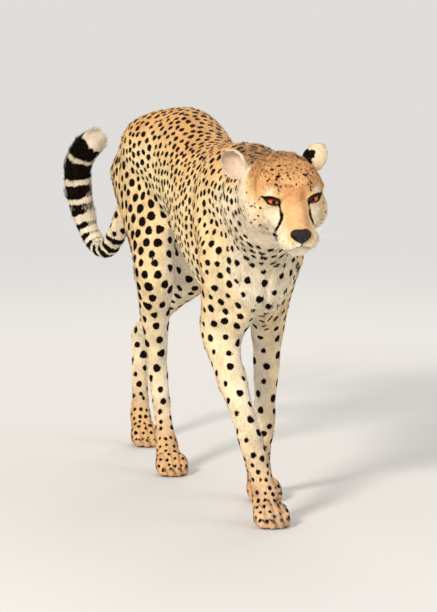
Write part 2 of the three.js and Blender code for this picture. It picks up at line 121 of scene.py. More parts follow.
class Lumps:
    """Smooth seeded noise in space, between about -1 and 1."""

    def __init__(self, seed, size, waves=24):
        rng = np.random.default_rng(seed)
        self.k = unit(rng.normal(size=(waves, 3))) * (2 * math.pi / size) * rng.uniform(0.6, 1.5, (waves, 1))
        self.phase = rng.uniform(0, 2 * math.pi, waves)

    def __call__(self, p):
        total = np.zeros(len(p))
        for k, phase in zip(self.k, self.phase):
            total += np.sin(p @ k + phase)
        return total / math.sqrt(len(self.phase)) * 1.2


# ---- meshes as arrays

def read(items, key, kind, width):
    values = np.empty(len(items) * width, kind)
    items.foreach_get(key, values)
    return values.reshape(-1, width)


def points_of(mesh):
    return read(mesh.vertices, "co", np.float32, 3).astype(float)


def triangles_of(mesh):
    mesh.calc_loop_triangles()
    return read(mesh.loop_triangles, "vertices", np.int32, 3)


def edges_of(mesh):
    return read(mesh.edges, "vertices", np.int32, 2)


def set_points(mesh, p):
    mesh.vertices.foreach_set("co", np.ascontiguousarray(p, np.float32).ravel())
    mesh.update()


def normals(p, tris):
    a, b, c = (p[tris[:, k]] for k in range(3))
    face = np.cross(b - a, c - a)
    return unit(np.stack([
        sum(np.bincount(tris[:, k], face[:, axis], len(p)) for k in range(3)) for axis in range(3)
    ], axis=1))


class Net:
    """The edges of a mesh, for averaging values over neighbours."""

    def __init__(self, count, edges):
        self.a = np.concatenate([edges[:, 0], edges[:, 1]])
        self.b = np.concatenate([edges[:, 1], edges[:, 0]])
        order = np.argsort(self.a, kind="stable")
        self.a, self.b = self.a[order], self.b[order]
        self.n = np.bincount(self.a, minlength=count)
        self.start = np.concatenate([[0], np.cumsum(self.n)[:-1]])

    def around(self, values):
        return np.add.reduceat(values[self.b], self.start, axis=0) / (
            self.n[:, None] if values.ndim > 1 else self.n)

    def smooth(self, values, rounds, share=1.0):
        """Moves each value halfway to its neighbours' mean, times its share, in each round."""
        values = values.astype(np.float32)
        share = np.asarray(share, np.float32)
        if share.ndim and values.ndim > 1:
            share = share[:, None]
        for _ in range(rounds):
            values = values + share * 0.5 * (self.around(values) - values)
        return values.astype(float)


def add_object(name, data):
    obj = bpy.data.objects.new(name, data)
    bpy.context.scene.collection.objects.link(obj)
    return obj


def stacked(parts):
    """Several (points, faces) as one."""
    points, faces, count = [], [], 0
    for p, f in parts:
        points.append(p)
        faces.append(f + count)
        count += len(p)
    return np.vstack(points), np.vstack(faces)


def new_object(name, p, faces):
    """A smooth-shaded object in the scene from points and faces, which all have as many sides."""
    mesh = bpy.data.meshes.new(name)
    p = np.ascontiguousarray(p, np.float32)
    faces = np.ascontiguousarray(faces, np.int32)
    sides = faces.shape[1]
    mesh.vertices.add(len(p))
    mesh.vertices.foreach_set("co", p.ravel())
    mesh.loops.add(faces.size)
    mesh.loops.foreach_set("vertex_index", faces.ravel())
    mesh.polygons.add(len(faces))
    mesh.polygons.foreach_set("loop_start", np.arange(0, faces.size, sides, dtype=np.int32))
    mesh.polygons.foreach_set("loop_total", np.full(len(faces), sides, np.int32))
    mesh.update(calc_edges=True)
    mesh.shade_smooth()
    return add_object(name, mesh)


def apply_modifiers(obj):
    graph = bpy.context.evaluated_depsgraph_get()
    mesh = bpy.data.meshes.new_from_object(obj.evaluated_get(graph), depsgraph=graph)
    obj.modifiers.clear()
    old, obj.data = obj.data, mesh
    bpy.data.meshes.remove(old)


def attribute(mesh, name, values, kind="FLOAT"):
    """Stores a number, a direction or a colour for each point of the mesh."""
    if kind == "FLOAT_COLOR":
        values = np.c_[values, np.ones(len(values))]
    key = {"FLOAT": "value", "FLOAT_VECTOR": "vector", "FLOAT_COLOR": "color"}[kind]
    made = mesh.attributes.new(name, kind, "POINT")
    made.data.foreach_set(key, np.ascontiguousarray(values, np.float32).ravel())


# ---- the animal's own landmarks

def corners(name):
    low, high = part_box(name)
    return np.array(low), np.array(high)


def centre_of(name):
    low, high = corners(name)
    return (low + high) / 2


NOSE_AHEAD, NOSE_BELOW = 0.066, 0.051  # the nose from the middle between the eyes, in m
EYE_AHEAD, EYE_UP = 0.049, 0.008  # the eyes from the head's own origin, in m
EYE_RADIUS = 0.0165


class HeadFrame:
    """The head's own axes: +x its left, -y forward, +z up, found from the eyes and the nose."""

    def __init__(self):
        right, left, nose = (centre_of(n) for n in ("eye_right", "eye_left", "nose"))
        middle = (right + left) / 2
        x = unit(left - right)
        to_nose = nose - middle
        to_nose = to_nose - (to_nose @ x) * x
        flat = math.atan2(NOSE_BELOW, NOSE_AHEAD)
        fore = unit(to_nose)
        up = unit(np.cross(x, -fore))
        ahead = fore * math.cos(flat) + up * math.sin(flat)
        z = unit(fore * -math.sin(flat) + up * math.cos(flat))
        self.axes = np.array([x, -ahead, z])
        self.origin = middle + EYE_AHEAD * -ahead - EYE_UP * z

    def into(self, p):
        """Places of the world, in the head's axes."""
        return (p - self.origin) @ self.axes.T

    def out(self, p):
        """Places given in the head's axes, in the world."""
        return self.turn(p) + self.origin

    def turn(self, v):
        """Directions given in the head's axes, in the world."""
        return np.asarray(v, float) @ self.axes


HEAD = HeadFrame()

# ---- one closed form from the solids of flesh

HARD = ("eye_", "foreclaw_", "hindclaw_", "nose")
FLESH = sorted(n for n in NODES if not n.startswith(HARD))
BODY_TRIANGLES = 172000  # of the whole skin, once the body is thinned
PAW_TRIANGLES = 152000  # of the whole skin, once the paws are thinned too
CELL = 0.0024  # the size of the cells that the solids are joined in, in m
GROW = 0.0014  # how far each solid is grown first, so that the gaps between them close, in m
LONGEST_EDGE = 0.0078  # of the thinned skin, in m, so that it can carry the markings


def joined_solids():
    """The solids of flesh and the eyes, grown a little and joined into one closed mesh."""
    solids = []
    for name in FLESH + ["eye_right", "eye_left"]:
        bm = bmesh.new()
        bm.from_mesh(NODES[name].data)
        bmesh.ops.remove_doubles(bm, verts=bm.verts, dist=1e-6)
        bmesh.ops.triangulate(bm, faces=bm.faces)
        bm.verts.index_update()
        p = np.array([v.co for v in bm.verts], float)
        t = np.array([[v.index for v in f.verts] for f in bm.faces])
        bm.free()
        solids.append((p + GROW * normals(p, t), t))
    obj = new_object("skin", *stacked(solids))
    remesh = obj.modifiers.new("remesh", "REMESH")
    remesh.mode = "VOXEL"
    remesh.voxel_size = CELL
    apply_modifiers(obj)
    return obj


skin = joined_solids()


def near_box(p, name, fade):
    """1 inside a CAD node's box, falling to 0 at a distance of fade outside it."""
    low, high = corners(name)
    out = lengths_of(np.maximum(np.maximum(low - p, p - high), 0))
    return 1 - step(out, 0, fade)


PAWS = ("forepaw_right", "forepaw_left", "hindpaw_right", "hindpaw_left")


def region(p):
    """Weights of the parts that keep their fine form."""
    head = near_box(p, "head", 0.02) * (1 - step(HEAD.into(p)[:, 1], 0.035, 0.075))
    ears = most(*(near_box(p, n, 0.012) for n in ("ear_right", "ear_left")))
    paws = most(*(near_box(p, n, 0.02) for n in PAWS))
    return head, ears, paws


def settle(mesh, rounds, share, keep=0.9):
    """Evens out facets, then gives back the broad form that this took away."""
    p = points_of(mesh)
    net = Net(len(p), edges_of(mesh))
    even = net.smooth(p, rounds, share)
    lost = net.smooth(p - even, rounds, share)
    set_points(mesh, even + keep * lost)
    return net


def thin_out(obj, free, target):
    """Collapses triangles between points where free is true, and leaves the rest."""
    group = obj.vertex_groups.new(name="free")
    group.add(np.flatnonzero(free).tolist(), 1.0, "REPLACE")
    count = len(triangles_of(obj.data))
    modifier = obj.modifiers.new("thin", "DECIMATE")
    modifier.ratio = min(1.0, target / count)
    modifier.vertex_group = "free"
    apply_modifiers(obj)
    obj.vertex_groups.clear()


def halve_edges(obj, wanted, **settings):
    """Halves the edges for which wanted is true."""
    bm = bmesh.new()
    bm.from_mesh(obj.data)
    bmesh.ops.subdivide_edges(bm, edges=[e for e in bm.edges if wanted(e)], cuts=1, **settings)
    bmesh.ops.triangulate(bm, faces=bm.faces)
    bm.to_mesh(obj.data)
    bm.free()


head, ears, paws = region(points_of(skin.data))
settle(skin.data, 60, np.clip(1 - 0.9 * head - 0.85 * paws, 0.1, 1) * (1 - 0.9 * ears))
head, ears, paws = (w > 0.5 for w in region(points_of(skin.data)))
thin_out(skin, ~(head | ears | paws), BODY_TRIANGLES)
head, ears, paws = (w > 0.5 for w in region(points_of(skin.data)))
thin_out(skin, paws & ~(head | ears), PAW_TRIANGLES)
for _ in range(2):
    halve_edges(skin, lambda e: e.calc_length() > LONGEST_EDGE)
hx, hy, hz = (HEAD.into(points_of(skin.data)) / MM).T
fine = ((hy < -30) & (np.abs(hx) < 62) & (np.hypot(np.abs(hx) - 36, hz - 8) < 21)) | ((hy < -76) & (hz < -26))
halve_edges(skin, lambda e: fine[e.verts[0].index] and fine[e.verts[1].index], use_grid_fill=True)

mesh = skin.data
head, ears, paws = region(points_of(mesh))
net = settle(mesh, 50, (1 - most(head, 0.95 * ears, paws)) * 0.9 + 0.02)

# ---- which part of the body each point belongs to

GROUPS = {
    "head": ("head",), "ear": ("ear_",), "neck": ("neck",), "trunk": ("trunk",), "tail": ("tail_",),
    "foreleg": ("foreleg_",), "hindleg": ("hindleg_",), "paw": ("forepaw_", "hindpaw_"),
}


def nearest_nodes(p):
    """For each point, the number in FLESH of the solid that lies nearest."""
    bm = bmesh.new()
    owner = []
    for k, name in enumerate(FLESH):
        bm.from_mesh(NODES[name].data)
        owner += [k] * (len(bm.faces) - len(owner))
    tree = BVHTree.FromBMesh(bm)
    bm.free()
    return np.array([owner[tree.find_nearest(Vector(q))[2]] for q in p])


node_at = nearest_nodes(points_of(mesh))
group_of = np.array([
    next(g for g, starts in enumerate(GROUPS.values()) if name.startswith(starts)) for name in FLESH
])
weights = net.smooth((group_of[node_at][:, None] == np.arange(len(GROUPS))).astype(float), 12)
soft = {name: weights[:, k] for k, name in enumerate(GROUPS)}
on = SimpleNamespace(**soft)  # each part's weight at each point, as on.trunk

# ---- the skin lies inside the solids by the coat's depth

COAT_DEPTH = {  # how far the hair stands off the skin in each part, in mm
    "head": 1.1, "ear": 0.2, "neck": 2.6, "trunk": 2.0, "tail": 3.0, "foreleg": 1.7, "hindleg": 1.9,
    "paw": 1.0,
}
SOLE = 0.0004  # the height of the skin under the feet, in m
tris = triangles_of(mesh)
p = points_of(mesh)
depth = net.smooth(sum(soft[name] * COAT_DEPTH[name] for name in COAT_DEPTH), 8)
p = p - normals(p, tris) * (depth * MM + GROW)[:, None]
p[:, 2] = np.maximum(p[:, 2], SOLE)
set_points(mesh, p)

# ---- the face

def on_surface(tree, q):
    """The place on the surface that is nearest to q (head frame, mm), and the surface's direction there."""
    place, normal, _, _ = tree.find_nearest(Vector(HEAD.out(np.asarray(q, float) * MM)))
    return np.array(place), np.array(normal)


def snapped(tree, line, count, side=1):
    """The curve through the points of line (head frame, mm), laid on the surface. Side -1 mirrors it."""
    line = [(side * x, y, z) for x, y, z in line]
    return np.array([tree.find_nearest(Vector(q))[0] for q in HEAD.out(curve_through(line, count) * MM)])


def tree_of(p, tris):
    return BVHTree.FromPolygons([Vector(q) for q in p], [tuple(t) for t in tris.tolist()])


EYE_TURN = math.radians(18)  # how far outwards the lids' openings face, from straight ahead
# The lids' edge, in mm on the eyeball's surface: outwards and up, from the inner corner over the top.
EYE_OPENING = [
    (-11.6, -3.3), (-8.0, 1.3), (-3.0, 4.0), (3.0, 5.0), (9.0, 4.8), (14.6, 2.9), (10.5, -1.0), (5.0, -3.4),
    (-2.0, -4.5), (-7.6, -4.3),
]


def eye_axes(side):
    centre = centre_of("eye_left" if side > 0 else "eye_right")
    ahead = HEAD.turn([side * math.sin(EYE_TURN), -math.cos(EYE_TURN), 0])
    out = HEAD.turn([side * math.cos(EYE_TURN), math.sin(EYE_TURN), 0])
    return centre, ahead, out, HEAD.turn([0, 0, 1])


def on_eyeball(p, side):
    """Places on the eyeball's surface in mm (outwards, up), and the distance from its centre in mm."""
    centre, ahead, out, up = eye_axes(side)
    d = (p - centre) / MM
    far = lengths_of(d)
    across = np.arctan2(d @ out, d @ ahead) * EYE_RADIUS / MM
    rise = np.arcsin(np.clip(d @ up / far, -1, 1)) * EYE_RADIUS / MM
    return np.stack([across, rise], axis=1), far


def from_eyeball(places, side, far):
    """The way back from on_eyeball, with one distance for all places."""
    centre, ahead, out, up = eye_axes(side)
    a, b = np.asarray(places).T * MM / EYE_RADIUS
    level = (np.cos(a) * np.cos(b))[:, None] * ahead + (np.sin(a) * np.cos(b))[:, None] * out
    return centre + far * MM * (level + np.sin(b)[:, None] * up)


def closed_curve(points, count):
    """A smooth closed curve through points in a plane, as count points evenly spaced from the first one."""
    p = np.asarray(points, float)
    p = np.vstack([p[-3:], p, p[:3]])
    p = np.hstack([p, np.zeros((len(p), 1))])
    fine = curve_through(p, 60 * len(p))[:, :2]
    start = np.argmin(lengths_of(fine[:len(fine) // 3] - points[0]))
    end = len(fine) // 2 + np.argmin(lengths_of(fine[len(fine) // 2:] - points[0]))
    ring = fine[start:end]
    gone = np.concatenate([[0], np.cumsum(lengths_of(np.diff(ring, axis=0)))])
    want = np.linspace(0, gone[-1], count, endpoint=False)
    return np.stack([np.interp(want, gone, ring[:, k]) for k in range(2)], axis=1)


def outline_distance(places, ring):
    """Signed distance to a closed outline, negative inside."""
    best = np.full(len(places), np.inf)
    inside = np.zeros(len(places), bool)
    for a, b in zip(ring, np.roll(ring, -1, axis=0)):
        t = np.clip((places - a) @ (b - a) / max((b - a) @ (b - a), 1e-12), 0, 1)
        best = np.minimum(best, lengths_of(places - (a + t[:, None] * (b - a))))
        crosses = (a[1] > places[:, 1]) != (b[1] > places[:, 1])
        at = a[0] + (places[:, 1] - a[1]) / (b[1] - a[1] if b[1] != a[1] else 1e-12) * (b[0] - a[0])
        inside ^= crosses & (places[:, 0] < at)
    return np.where(inside, -best, best)


EYE_RING = closed_curve(EYE_OPENING, 60)

# Soft forms of the face, for its left side and mirrored: place (head frame, mm), reach, height.
FACE_FORMS = [
    ((26, -58, 29), 15, 2.0),    # brow over the eye
    ((40, -44, 30), 12, 1.6),    # brow, outer part
    ((19, -66, 3), 9, -2.4),     # hollow at the inner corner of the eye
    ((30, -64, -14), 13, 1.6),   # cheek under the eye
    ((22, -88, -28), 11, -1.4),  # furrow between nose and cheek
    ((60, -22, 6), 18, -2.2),    # temple
    ((50, -22, 38), 22, 5.0),    # over the temple
    ((44, -6, 52), 20, 5.0),     # side of the crown
    ((52, -10, -36), 22, 2.4),   # cheek
    ((15, -116, -58), 11, 1.6),  # whisker pad
    ((26, -98, -56), 12, 1.8),   # whisker pad, back
    ((0, -64, 30), 11, -1.4),    # dip between the brows
    ((0, -98, -22), 14, 0.8),    # bridge of the nose
    ((0, -112, -78), 9, 1.6),    # chin
    ((15, -104, -80), 11, 3.4),  # chin, sides
    ((29, -82, -76), 13, 4.2),   # lower jaw
    ((41, -60, -53), 13, 4.6),   # behind the corner of the mouth
    ((31, -52, -68), 15, 6.5),   # lower jaw, back
]
LIP = [(0, -121, -63), (8, -120, -66.5), (17, -114, -70.5), (26, -101, -73), (34, -84, -73), (39, -69, -68),
       (41, -60, -62)]
PHILTRUM = [(0, -124, -54), (0, -122, -63)]


def shape_face(p):
    """Adds the soft forms, the fold of the lips with a swell above it, and the groove under the nose."""
    h = HEAD.into(p) / MM
    face = step(-h[:, 1], -24, 10)
    crest = bell(lengths_of(np.abs(h) - (48, 36, 34)), 17) * (h[:, 2] > 5)
    p = mix(p, net.smooth(p, 14), crest[:, None])
    n = normals(p, tris)
    for place, reach, height in FACE_FORMS:
        for x in {place[0], -place[0]}:
            d = lengths_of(h - (x, *place[1:]))
            p = p + n * (height * MM * bell(d, reach) * face)[:, None]
    tree = tree_of(p, tris)
    near = np.flatnonzero((h[:, 1] < -40) & (h[:, 2] < -30))
    n = normals(p, tris)
    for side in (1, -1):
        laid = snapped(tree, LIP, 50, side)
        d, t = along_line(p[near], laid)
        d /= MM
        fold = 3.4 * bell(d, 2.0) * step(t, 1.02, 0.8)
        above = HEAD.into(p[near])[:, 2] > np.interp(t, np.linspace(0, 1, len(laid)), HEAD.into(laid)[:, 2])
        swell = 1.5 * bell(d - 5, 3.6) * above * step(t, 1.0, 0.6)
        p[near] += n[near] * ((swell - fold) * MM)[:, None]
    d, _ = along_line(p[near], snapped(tree, PHILTRUM, 12))
    p[near] -= n[near] * (2.2 * MM * bell(d / MM, 1.7))[:, None]
    return p


def shape_lids(p):
    """Lays the lids over the eyeballs, with a pocket behind the opening."""
    for side in (-1, 1):
        places, far = on_eyeball(p, side)
        near = (far < 34) & (np.abs(places[:, 0]) < 30) & (np.abs(places[:, 1]) < 30)
        gap = np.full(len(p), FAR)
        gap[near] = outline_distance(places[near], EYE_RING)
        radius = EYE_RADIUS / MM
        upper = step(places[:, 1], -4, 3)
        lid = radius + 0.5 + (1.6 + 1.5 * upper) * step(gap, 0.4, 6.5) - 0.5 * bell(gap - 7.0, 1.6) * upper
        hold = step(gap, 15, 5.5)
        wanted = np.where(gap < 0, radius - 2.6, far + (lid - far) * hold)
        moved = gap < 16
        centre = eye_axes(side)[0]
        p[moved] = centre + (p[moved] - centre) * (wanted[moved] / far[moved])[:, None]
    return p


# ---- paws

BALL_TO_CLAWS = 55.5  # mm, from the ball forward to the middle claws
CLAW_SPREAD = 45  # mm, between the outer claws of a paw of the usual width


class Paw:
    """A foot's own axes: x across, y forward from the ball, z up, in mm, found from its claws."""

    def __init__(self, name):
        self.name = name
        self.claw_nodes = [f"{name.replace('paw', 'claw')}_{i}" for i in (1, 2, 3, 4)]
        claws = [centre_of(node) for node in self.claw_nodes]
        across = claws[3] - claws[0]
        self.across = unit(np.array([across[0], across[1], 0]))
        self.ahead = np.array([self.across[1], -self.across[0], 0])
        tips = (claws[1] + claws[2]) / 2
        self.origin = np.array([tips[0], tips[1], 0]) - self.ahead * BALL_TO_CLAWS * MM
        self.width = np.linalg.norm(across) / MM / CLAW_SPREAD
        self.claws = claws

    def into(self, p):
        d = (p - self.origin) / MM
        return np.stack([d @ self.across, d @ self.ahead, d[:, 2]], axis=1)

    def out(self, q):
        q = np.asarray(q, float) * MM
        return self.origin + q[..., :1] * self.across + q[..., 1:2] * self.ahead + q[..., 2:] * (0, 0, 1)


PAW_FRAMES = [Paw(n) for n in PAWS]
TOES = (-22.5, -8.0, 8.0, 22.5)


def shape_paws(p):
    """Parts the toes with clefts, swells them and draws them in again before the claws."""
    n = normals(p, tris)
    for paw in PAW_FRAMES:
        q = paw.into(p)
        near = (np.hypot(q[:, 0], q[:, 1]) < 75) & (q[:, 2] < 62)
        x = q[:, 0] / paw.width
        fore = q[:, 1]
        lift = np.zeros(len(p))
        for a, b in zip(TOES[:-1], TOES[1:]):
            cleft = (a + b) / 2
            lift -= 4.6 * bell(x - cleft, 2.3) * step(fore, 14, 34) * (0.5 + 0.5 * step(q[:, 2], 2, 14))
            lift -= 1.6 * bell(x - cleft, 3.0) * step(fore, -6, 14) * step(fore, 34, 20)
        for a in TOES:
            ahead = 22 - 0.012 * a * a
            lift += 2.2 * bell(np.hypot(x - a, (fore - ahead) * 0.8), 7.0)
            lift -= 1.0 * bell(np.hypot(x - a, fore - ahead - 15), 6.0) * step(q[:, 2], 8, 18)
        p = p + n * (lift * near * MM)[:, None]
    p[:, 2] = np.maximum(p[:, 2], SOLE)
    return p


# ---- muscles

# Soft forms of the upper forelegs: place in the right one's box (0 to 1 each way), reach in mm, height in mm.
FORELEG_FORMS = [((0.1, 0.62, 0.92), 46, 2.5), ((0.05, 0.80, 0.62), 34, -2.5)]


def shape_body(p):
    """Shapes the shoulders, and the crease down the middle of the chest between them."""
    n = normals(p, tris)
    for (across, *rest), reach, height in FORELEG_FORMS:
        for side, place in (("right", (across, *rest)), ("left", (1 - across, *rest))):
            low, high = corners(f"foreleg_{side}_upper")
            d = lengths_of(p - (low + (high - low) * place)) / MM
            p = p + n * (height * MM * bell(d, reach))[:, None]
    middle = (centre_of("foreleg_right_upper")[0] + centre_of("foreleg_left_upper")[0]) / 2
    front = step(-n[:, 1], 0.3, 0.8) * step(p[:, 1], -0.2, -0.3)
    front = front * step(p[:, 2], 0.33, 0.38) * step(p[:, 2], 0.53, 0.46)
    return p - n * (4.0 * MM * bell((p[:, 0] - middle) / MM, 6.0) * front)[:, None]


set_points(mesh, shape_paws(shape_lids(shape_face(shape_body(points_of(mesh))))))

# ---- which way the coat lies

TAIL_COUNT = 120
BUILD_SHIFT = HEAD.origin / MM - (-51.0, -446.0, 649.0)  # mm, from the axes that TAIL_ROUTE is written in
TAIL_ROUTE = curve_through(np.array([
    (0, 618, 664), (-1, 668, 662), (-3, 708, 634), (-14, 740, 578), (-33, 764, 514), (-49, 788, 458),
    (-59, 812, 421), (-70, 844, 411), (-85, 874, 434), (-98, 890, 480), (-107, 896, 530), (-112, 894, 578),
    (-103, 882, 618), (-86, 866, 638), (-70, 851, 655),
]) + BUILD_SHIFT, TAIL_COUNT) * MM
TAIL_LENGTH = lengths_of(np.diff(TAIL_ROUTE, axis=0)).sum() / MM
NOSE_TIP = np.array([0.0, -124.0, -46.0])


def tail_step(t):
    """The number of the route's step at t of its length."""
    return np.minimum((t * (TAIL_COUNT - 1)).astype(int), TAIL_COUNT - 2)


def leg_axis(name):
    """Down a leg piece, from the middle of its top to the middle of its bottom."""
    q = points_of(NODES[name].data)
    high, low = q[:, 2].max(), q[:, 2].min()
    top = q[q[:, 2] > high - 0.2 * (high - low)].mean(0)
    bottom = q[q[:, 2] < low + 0.2 * (high - low)].mean(0)
    return unit(bottom - top)


def coat_flow(p, n, nodes):
    """The way the hairs point at each point, before it's evened out and laid along the skin."""
    h = HEAD.into(p) / MM
    lie = np.zeros_like(p)
    lie[:] = (0, 1, -0.25)
    for k, name in enumerate(FLESH):
        at = nodes == k
        if not at.any():
            continue
        if name == "head":
            away = unit(h[at] - NOSE_TIP)
            away[:, 2] += 0.25 * step(h[at][:, 2], 10, 40)
            away[:, 2] -= 0.35 * step(-h[at][:, 2], 0, 40)
            lie[at] = HEAD.turn(away)
        elif name.startswith("ear_"):
            side = 1 if name.endswith("left") else -1
            lie[at] = HEAD.turn([0.6 * side, 0.1, 0.8])
        elif name == "neck":
            front = step(-n[at][:, 2], -0.1, 0.7)[:, None]
            lie[at] = np.array([0, 1, -0.2]) * (1 - front) + np.array([0, 0.25, -1]) * front
        elif name == "trunk":
            front = (step(-n[at][:, 1], 0.3, 0.8) * step(-p[at][:, 1], 0.2, 0.3))[:, None]
            lie[at] = np.array([0, 1, -0.22]) * (1 - front) + np.array([0, 0.2, -1]) * front
        elif name.startswith("tail"):
            k = tail_step(along_line(p[at], TAIL_ROUTE[::4])[1])
            lie[at] = unit(TAIL_ROUTE[k + 1] - TAIL_ROUTE[k])
        elif "paw" in name:
            paw = PAW_FRAMES[PAWS.index(name)]
            lie[at] = paw.ahead * 0.9 + np.array([0, 0, -0.5])
        else:
            lie[at] = leg_axis(name) + np.array([0, 0.12, 0])
    return lie


def tangent(v, n):
    return unit(v - (v * n).sum(1, keepdims=True) * n)


p = points_of(mesh)
n = normals(p, tris)
h = HEAD.into(p) / MM
px, py, pz = p.T
hx, hy, hz = h.T
x = np.abs(hx)
flow = tangent(net.smooth(tangent(coat_flow(p, n, node_at), n), 14), n)
tail_far, tail_t = along_line(p, TAIL_ROUTE[::3])
from_tip = (1 - tail_t) * TAIL_LENGTH

# ---- ground colours

TAN, GOLD, CREAM, PALE, WHITE = (srgb(c) for c in ("dfa96c", "edc68a", "f4dba8", "f5e3c0", "f6ead4"))
FOREHEAD, BRIDGE, CHEEK, NAPE = (srgb(c) for c in ("e0a067", "f0be86", "f5e1c0", "b58350"))
SAND, UMBER, MUZZLE, PAD_BROWN = (srgb(c) for c in ("e0a872", "6d4426", "efdfc2", "3a2a22"))
EAR_INSIDE, EAR_SHADE = srgb("f4e4ce"), srgb("d0a586")

up = n[:, 2] + 0.12 * Lumps(3, 0.16)(p)
colour = np.tile(CREAM, (len(p), 1))


def tint(target, weight):
    """Moves the ground towards a colour, all the way where the weight is 1."""
    global colour
    colour = mix(colour, target, np.clip(weight, 0, 1))


def blob(place, size):
    """1 at a place of the face (head frame, mm, on both sides), falling away over size (mm each way)."""
    return bell(lengths_of((np.c_[x, hy, hz] - place) / size), 1)


MIDDLE = BUILD_SHIFT[0] * MM  # where the body's middle plane lies
side_out = np.where(px > MIDDLE, n[:, 0], -n[:, 0])  # 1 on the outer faces of the legs
trunk_like = on.trunk + on.neck
tint(GOLD, trunk_like * step(up, -0.15, 0.45) * 0.9)
tint(TAN, trunk_like * 0.9 * step(up, 0.3, 0.95))
tint(WHITE, on.trunk * step(-up, 0.15, 0.6))
tint(PALE, on.neck * step(-up, -0.4, 0.1))
tint(WHITE, on.neck * 0.5 * step(-up, 0.2, 0.7))
tint(NAPE, on.neck * 0.5 * step(up, 0.4, 0.85))
chest = step(-n[:, 1], 0.15, 0.7) * step(-py, 0.2, 0.28) * (1 - most(on.head, on.ear))
tint(PALE, chest * step(pz, 0.66, 0.54))
tint(WHITE, chest * 0.75 * step(pz, 0.56, 0.42))
legs = on.foreleg + on.hindleg
tint(CREAM, legs * 0.7)
tint(PALE, legs * step(pz, 0.5, 0.2) * 0.85)
tint(WHITE, legs * step(-side_out, -0.1, 0.5) * 0.8)
tint(GOLD, legs * 0.4 * step(side_out, 0.4, 0.9) * step(pz, 0.3, 0.55))
tint(SAND, (on.paw + legs) * 0.68 * step(pz, 0.20, 0.03))
tint(GOLD, on.tail * 0.6 * step(from_tip, 430, 620))
tint(WHITE, on.tail * 0.85 * step(from_tip, 480, 330))
tint(CREAM, on.tail * 0.25 * step(from_tip, 330, 480))

face = on.head
tint(GOLD, face * 0.85)
tint(FOREHEAD, face * step(hz, 12, 36) * 0.8)
tint(TAN, face * 0.6 * step(hz, 46, 64) * step(hy, -30, 0))
tint(BRIDGE, face * step(x, 27, 17) * step(-hy, 40, 62) * step(hz, -46, -30))
tint(FOREHEAD, face * 0.75 * step(x, 24, 12) * step(-hy, 40, 60) * step(np.abs(hz - 20), 26, 8))
tint(FOREHEAD, face * 0.35 * bell(x - 15, 6) * step(-hy, 60, 80) * step(hz, -40, -26))
tint(CHEEK, face * step(hz, 6, -16) * step(x, 20, 31))
tint(CHEEK, face * step(hy, 10, 40) * step(hz, 22, -4))
tint(MUZZLE, face * 0.85 * step(hz, -30, -50) * step(x, 20, 31))
tint(MUZZLE, face * step(hz, -47, -56))
tint(WHITE, face * step(hz, -66, -74))
tint(BRIDGE, face * 0.15 * step(hz, -34, -46) * step(x, 6, 16) * step(hz, -66, -54))
tint(GOLD, face * 0.75 * blob((55, -40, -16), (11, 20, 15)))
temple = face * blob((56, -10, 22), (16, 30, 18))
tint(TAN, 0.75 * temple)
tint(UMBER, 0.5 * temple * step(Lumps(50, 0.0045, 40)(p), 0.4, 1.1))
dots = step(Lumps(49, 0.004, 40)(p), 0.5, 1.2) * face
tint(UMBER, 0.5 * (dots * step(x, 40, 50) * step(-hz, -4, 8) * step(-hy, -30, 10)))
eye_gap = np.full(len(p), FAR)  # mm from the lids' edges, negative on the eyeballs
for side in (-1, 1):
    places, far = on_eyeball(p, side)
    near = (far < 34) & (np.abs(places[:, 0]) < 40) & (np.abs(places[:, 1]) < 40)
    ring_gap = outline_distance(places[near], EYE_RING)
    eye_gap[near] = np.minimum(eye_gap[near], ring_gap + 0.9 * np.maximum(far[near] - 20.5, 0))
    tint(PALE, bell(lengths_of((h - (side * 43, -57, 24)) / (1.5, 1, 1)), 7.5) * 0.9)
    tint(MUZZLE, bell(lengths_of((h - (side * 38, -62, -6)) / (1.5, 1, 1.0)), 8.5) * 0.9)
tint(PALE, on.ear * 0.9)
tint(NAPE, on.ear * 0.35 * step(Lumps(48, 0.005, 40)(p), 0.0, 1.0))

# ---- dark markings

FAINT = -9.0  # mm: as far outside a marking as it's worth telling apart
mark = np.full(len(p), FAINT)


def stamp(values):
    """Adds a marking, given as the distance in mm inside its edge."""
    global mark
    mark = np.maximum(mark, np.clip(values, FAINT, 12))


def scatter(spacing, allowed, seed):
    """Picks points in a seeded order, each its spacing away from those before it, and more along the coat."""
    order = np.random.default_rng(seed).permutation(np.flatnonzero(allowed))
    cell = spacing[allowed].max()
    keys = np.floor(p / cell).astype(int)
    grid, chosen = {}, []
    near = list(itertools.product((-1, 0, 1), repeat=3))
    for i in order:
        x, y, z = keys[i]
        q, room = p[i].tolist(), spacing[i] ** 2
        f = (flow[i] * math.sqrt(1 - 1 / long[i] ** 2)).tolist()
        if all((q[0] - r[0]) ** 2 + (q[1] - r[1]) ** 2 + (q[2] - r[2]) ** 2
               - ((q[0] - r[0]) * f[0] + (q[1] - r[1]) * f[1] + (q[2] - r[2]) * f[2]) ** 2 > room
               for a, b, c in near for r in grid.get((x + a, y + b, z + c), ())):
            chosen.append(i)
            grid.setdefault((x, y, z), []).append(tuple(q))
    return np.array(chosen, int)


def evened(centres, allowed, rounds=2):
    """The centres, each moved to the middle of the points that are nearest to it."""
    inside = np.flatnonzero(allowed)
    points = kd_tree(p[inside])
    for _ in range(rounds):
        nearest = kd_tree(p[centres])
        owner = np.array([nearest.find(q)[1] for q in p[inside]])
        count = np.maximum(np.bincount(owner, minlength=len(centres)), 1)
        middle = np.stack([np.bincount(owner, p[inside, k], len(centres)) / count for k in range(3)], axis=1)
        centres = np.unique([inside[points.find(q)[1]] for q in middle])
    return centres


def kd_tree(points):
    tree = KDTree(len(points))
    for k, q in enumerate(points):
        tree.insert(q, k)
    tree.balance()
    return tree


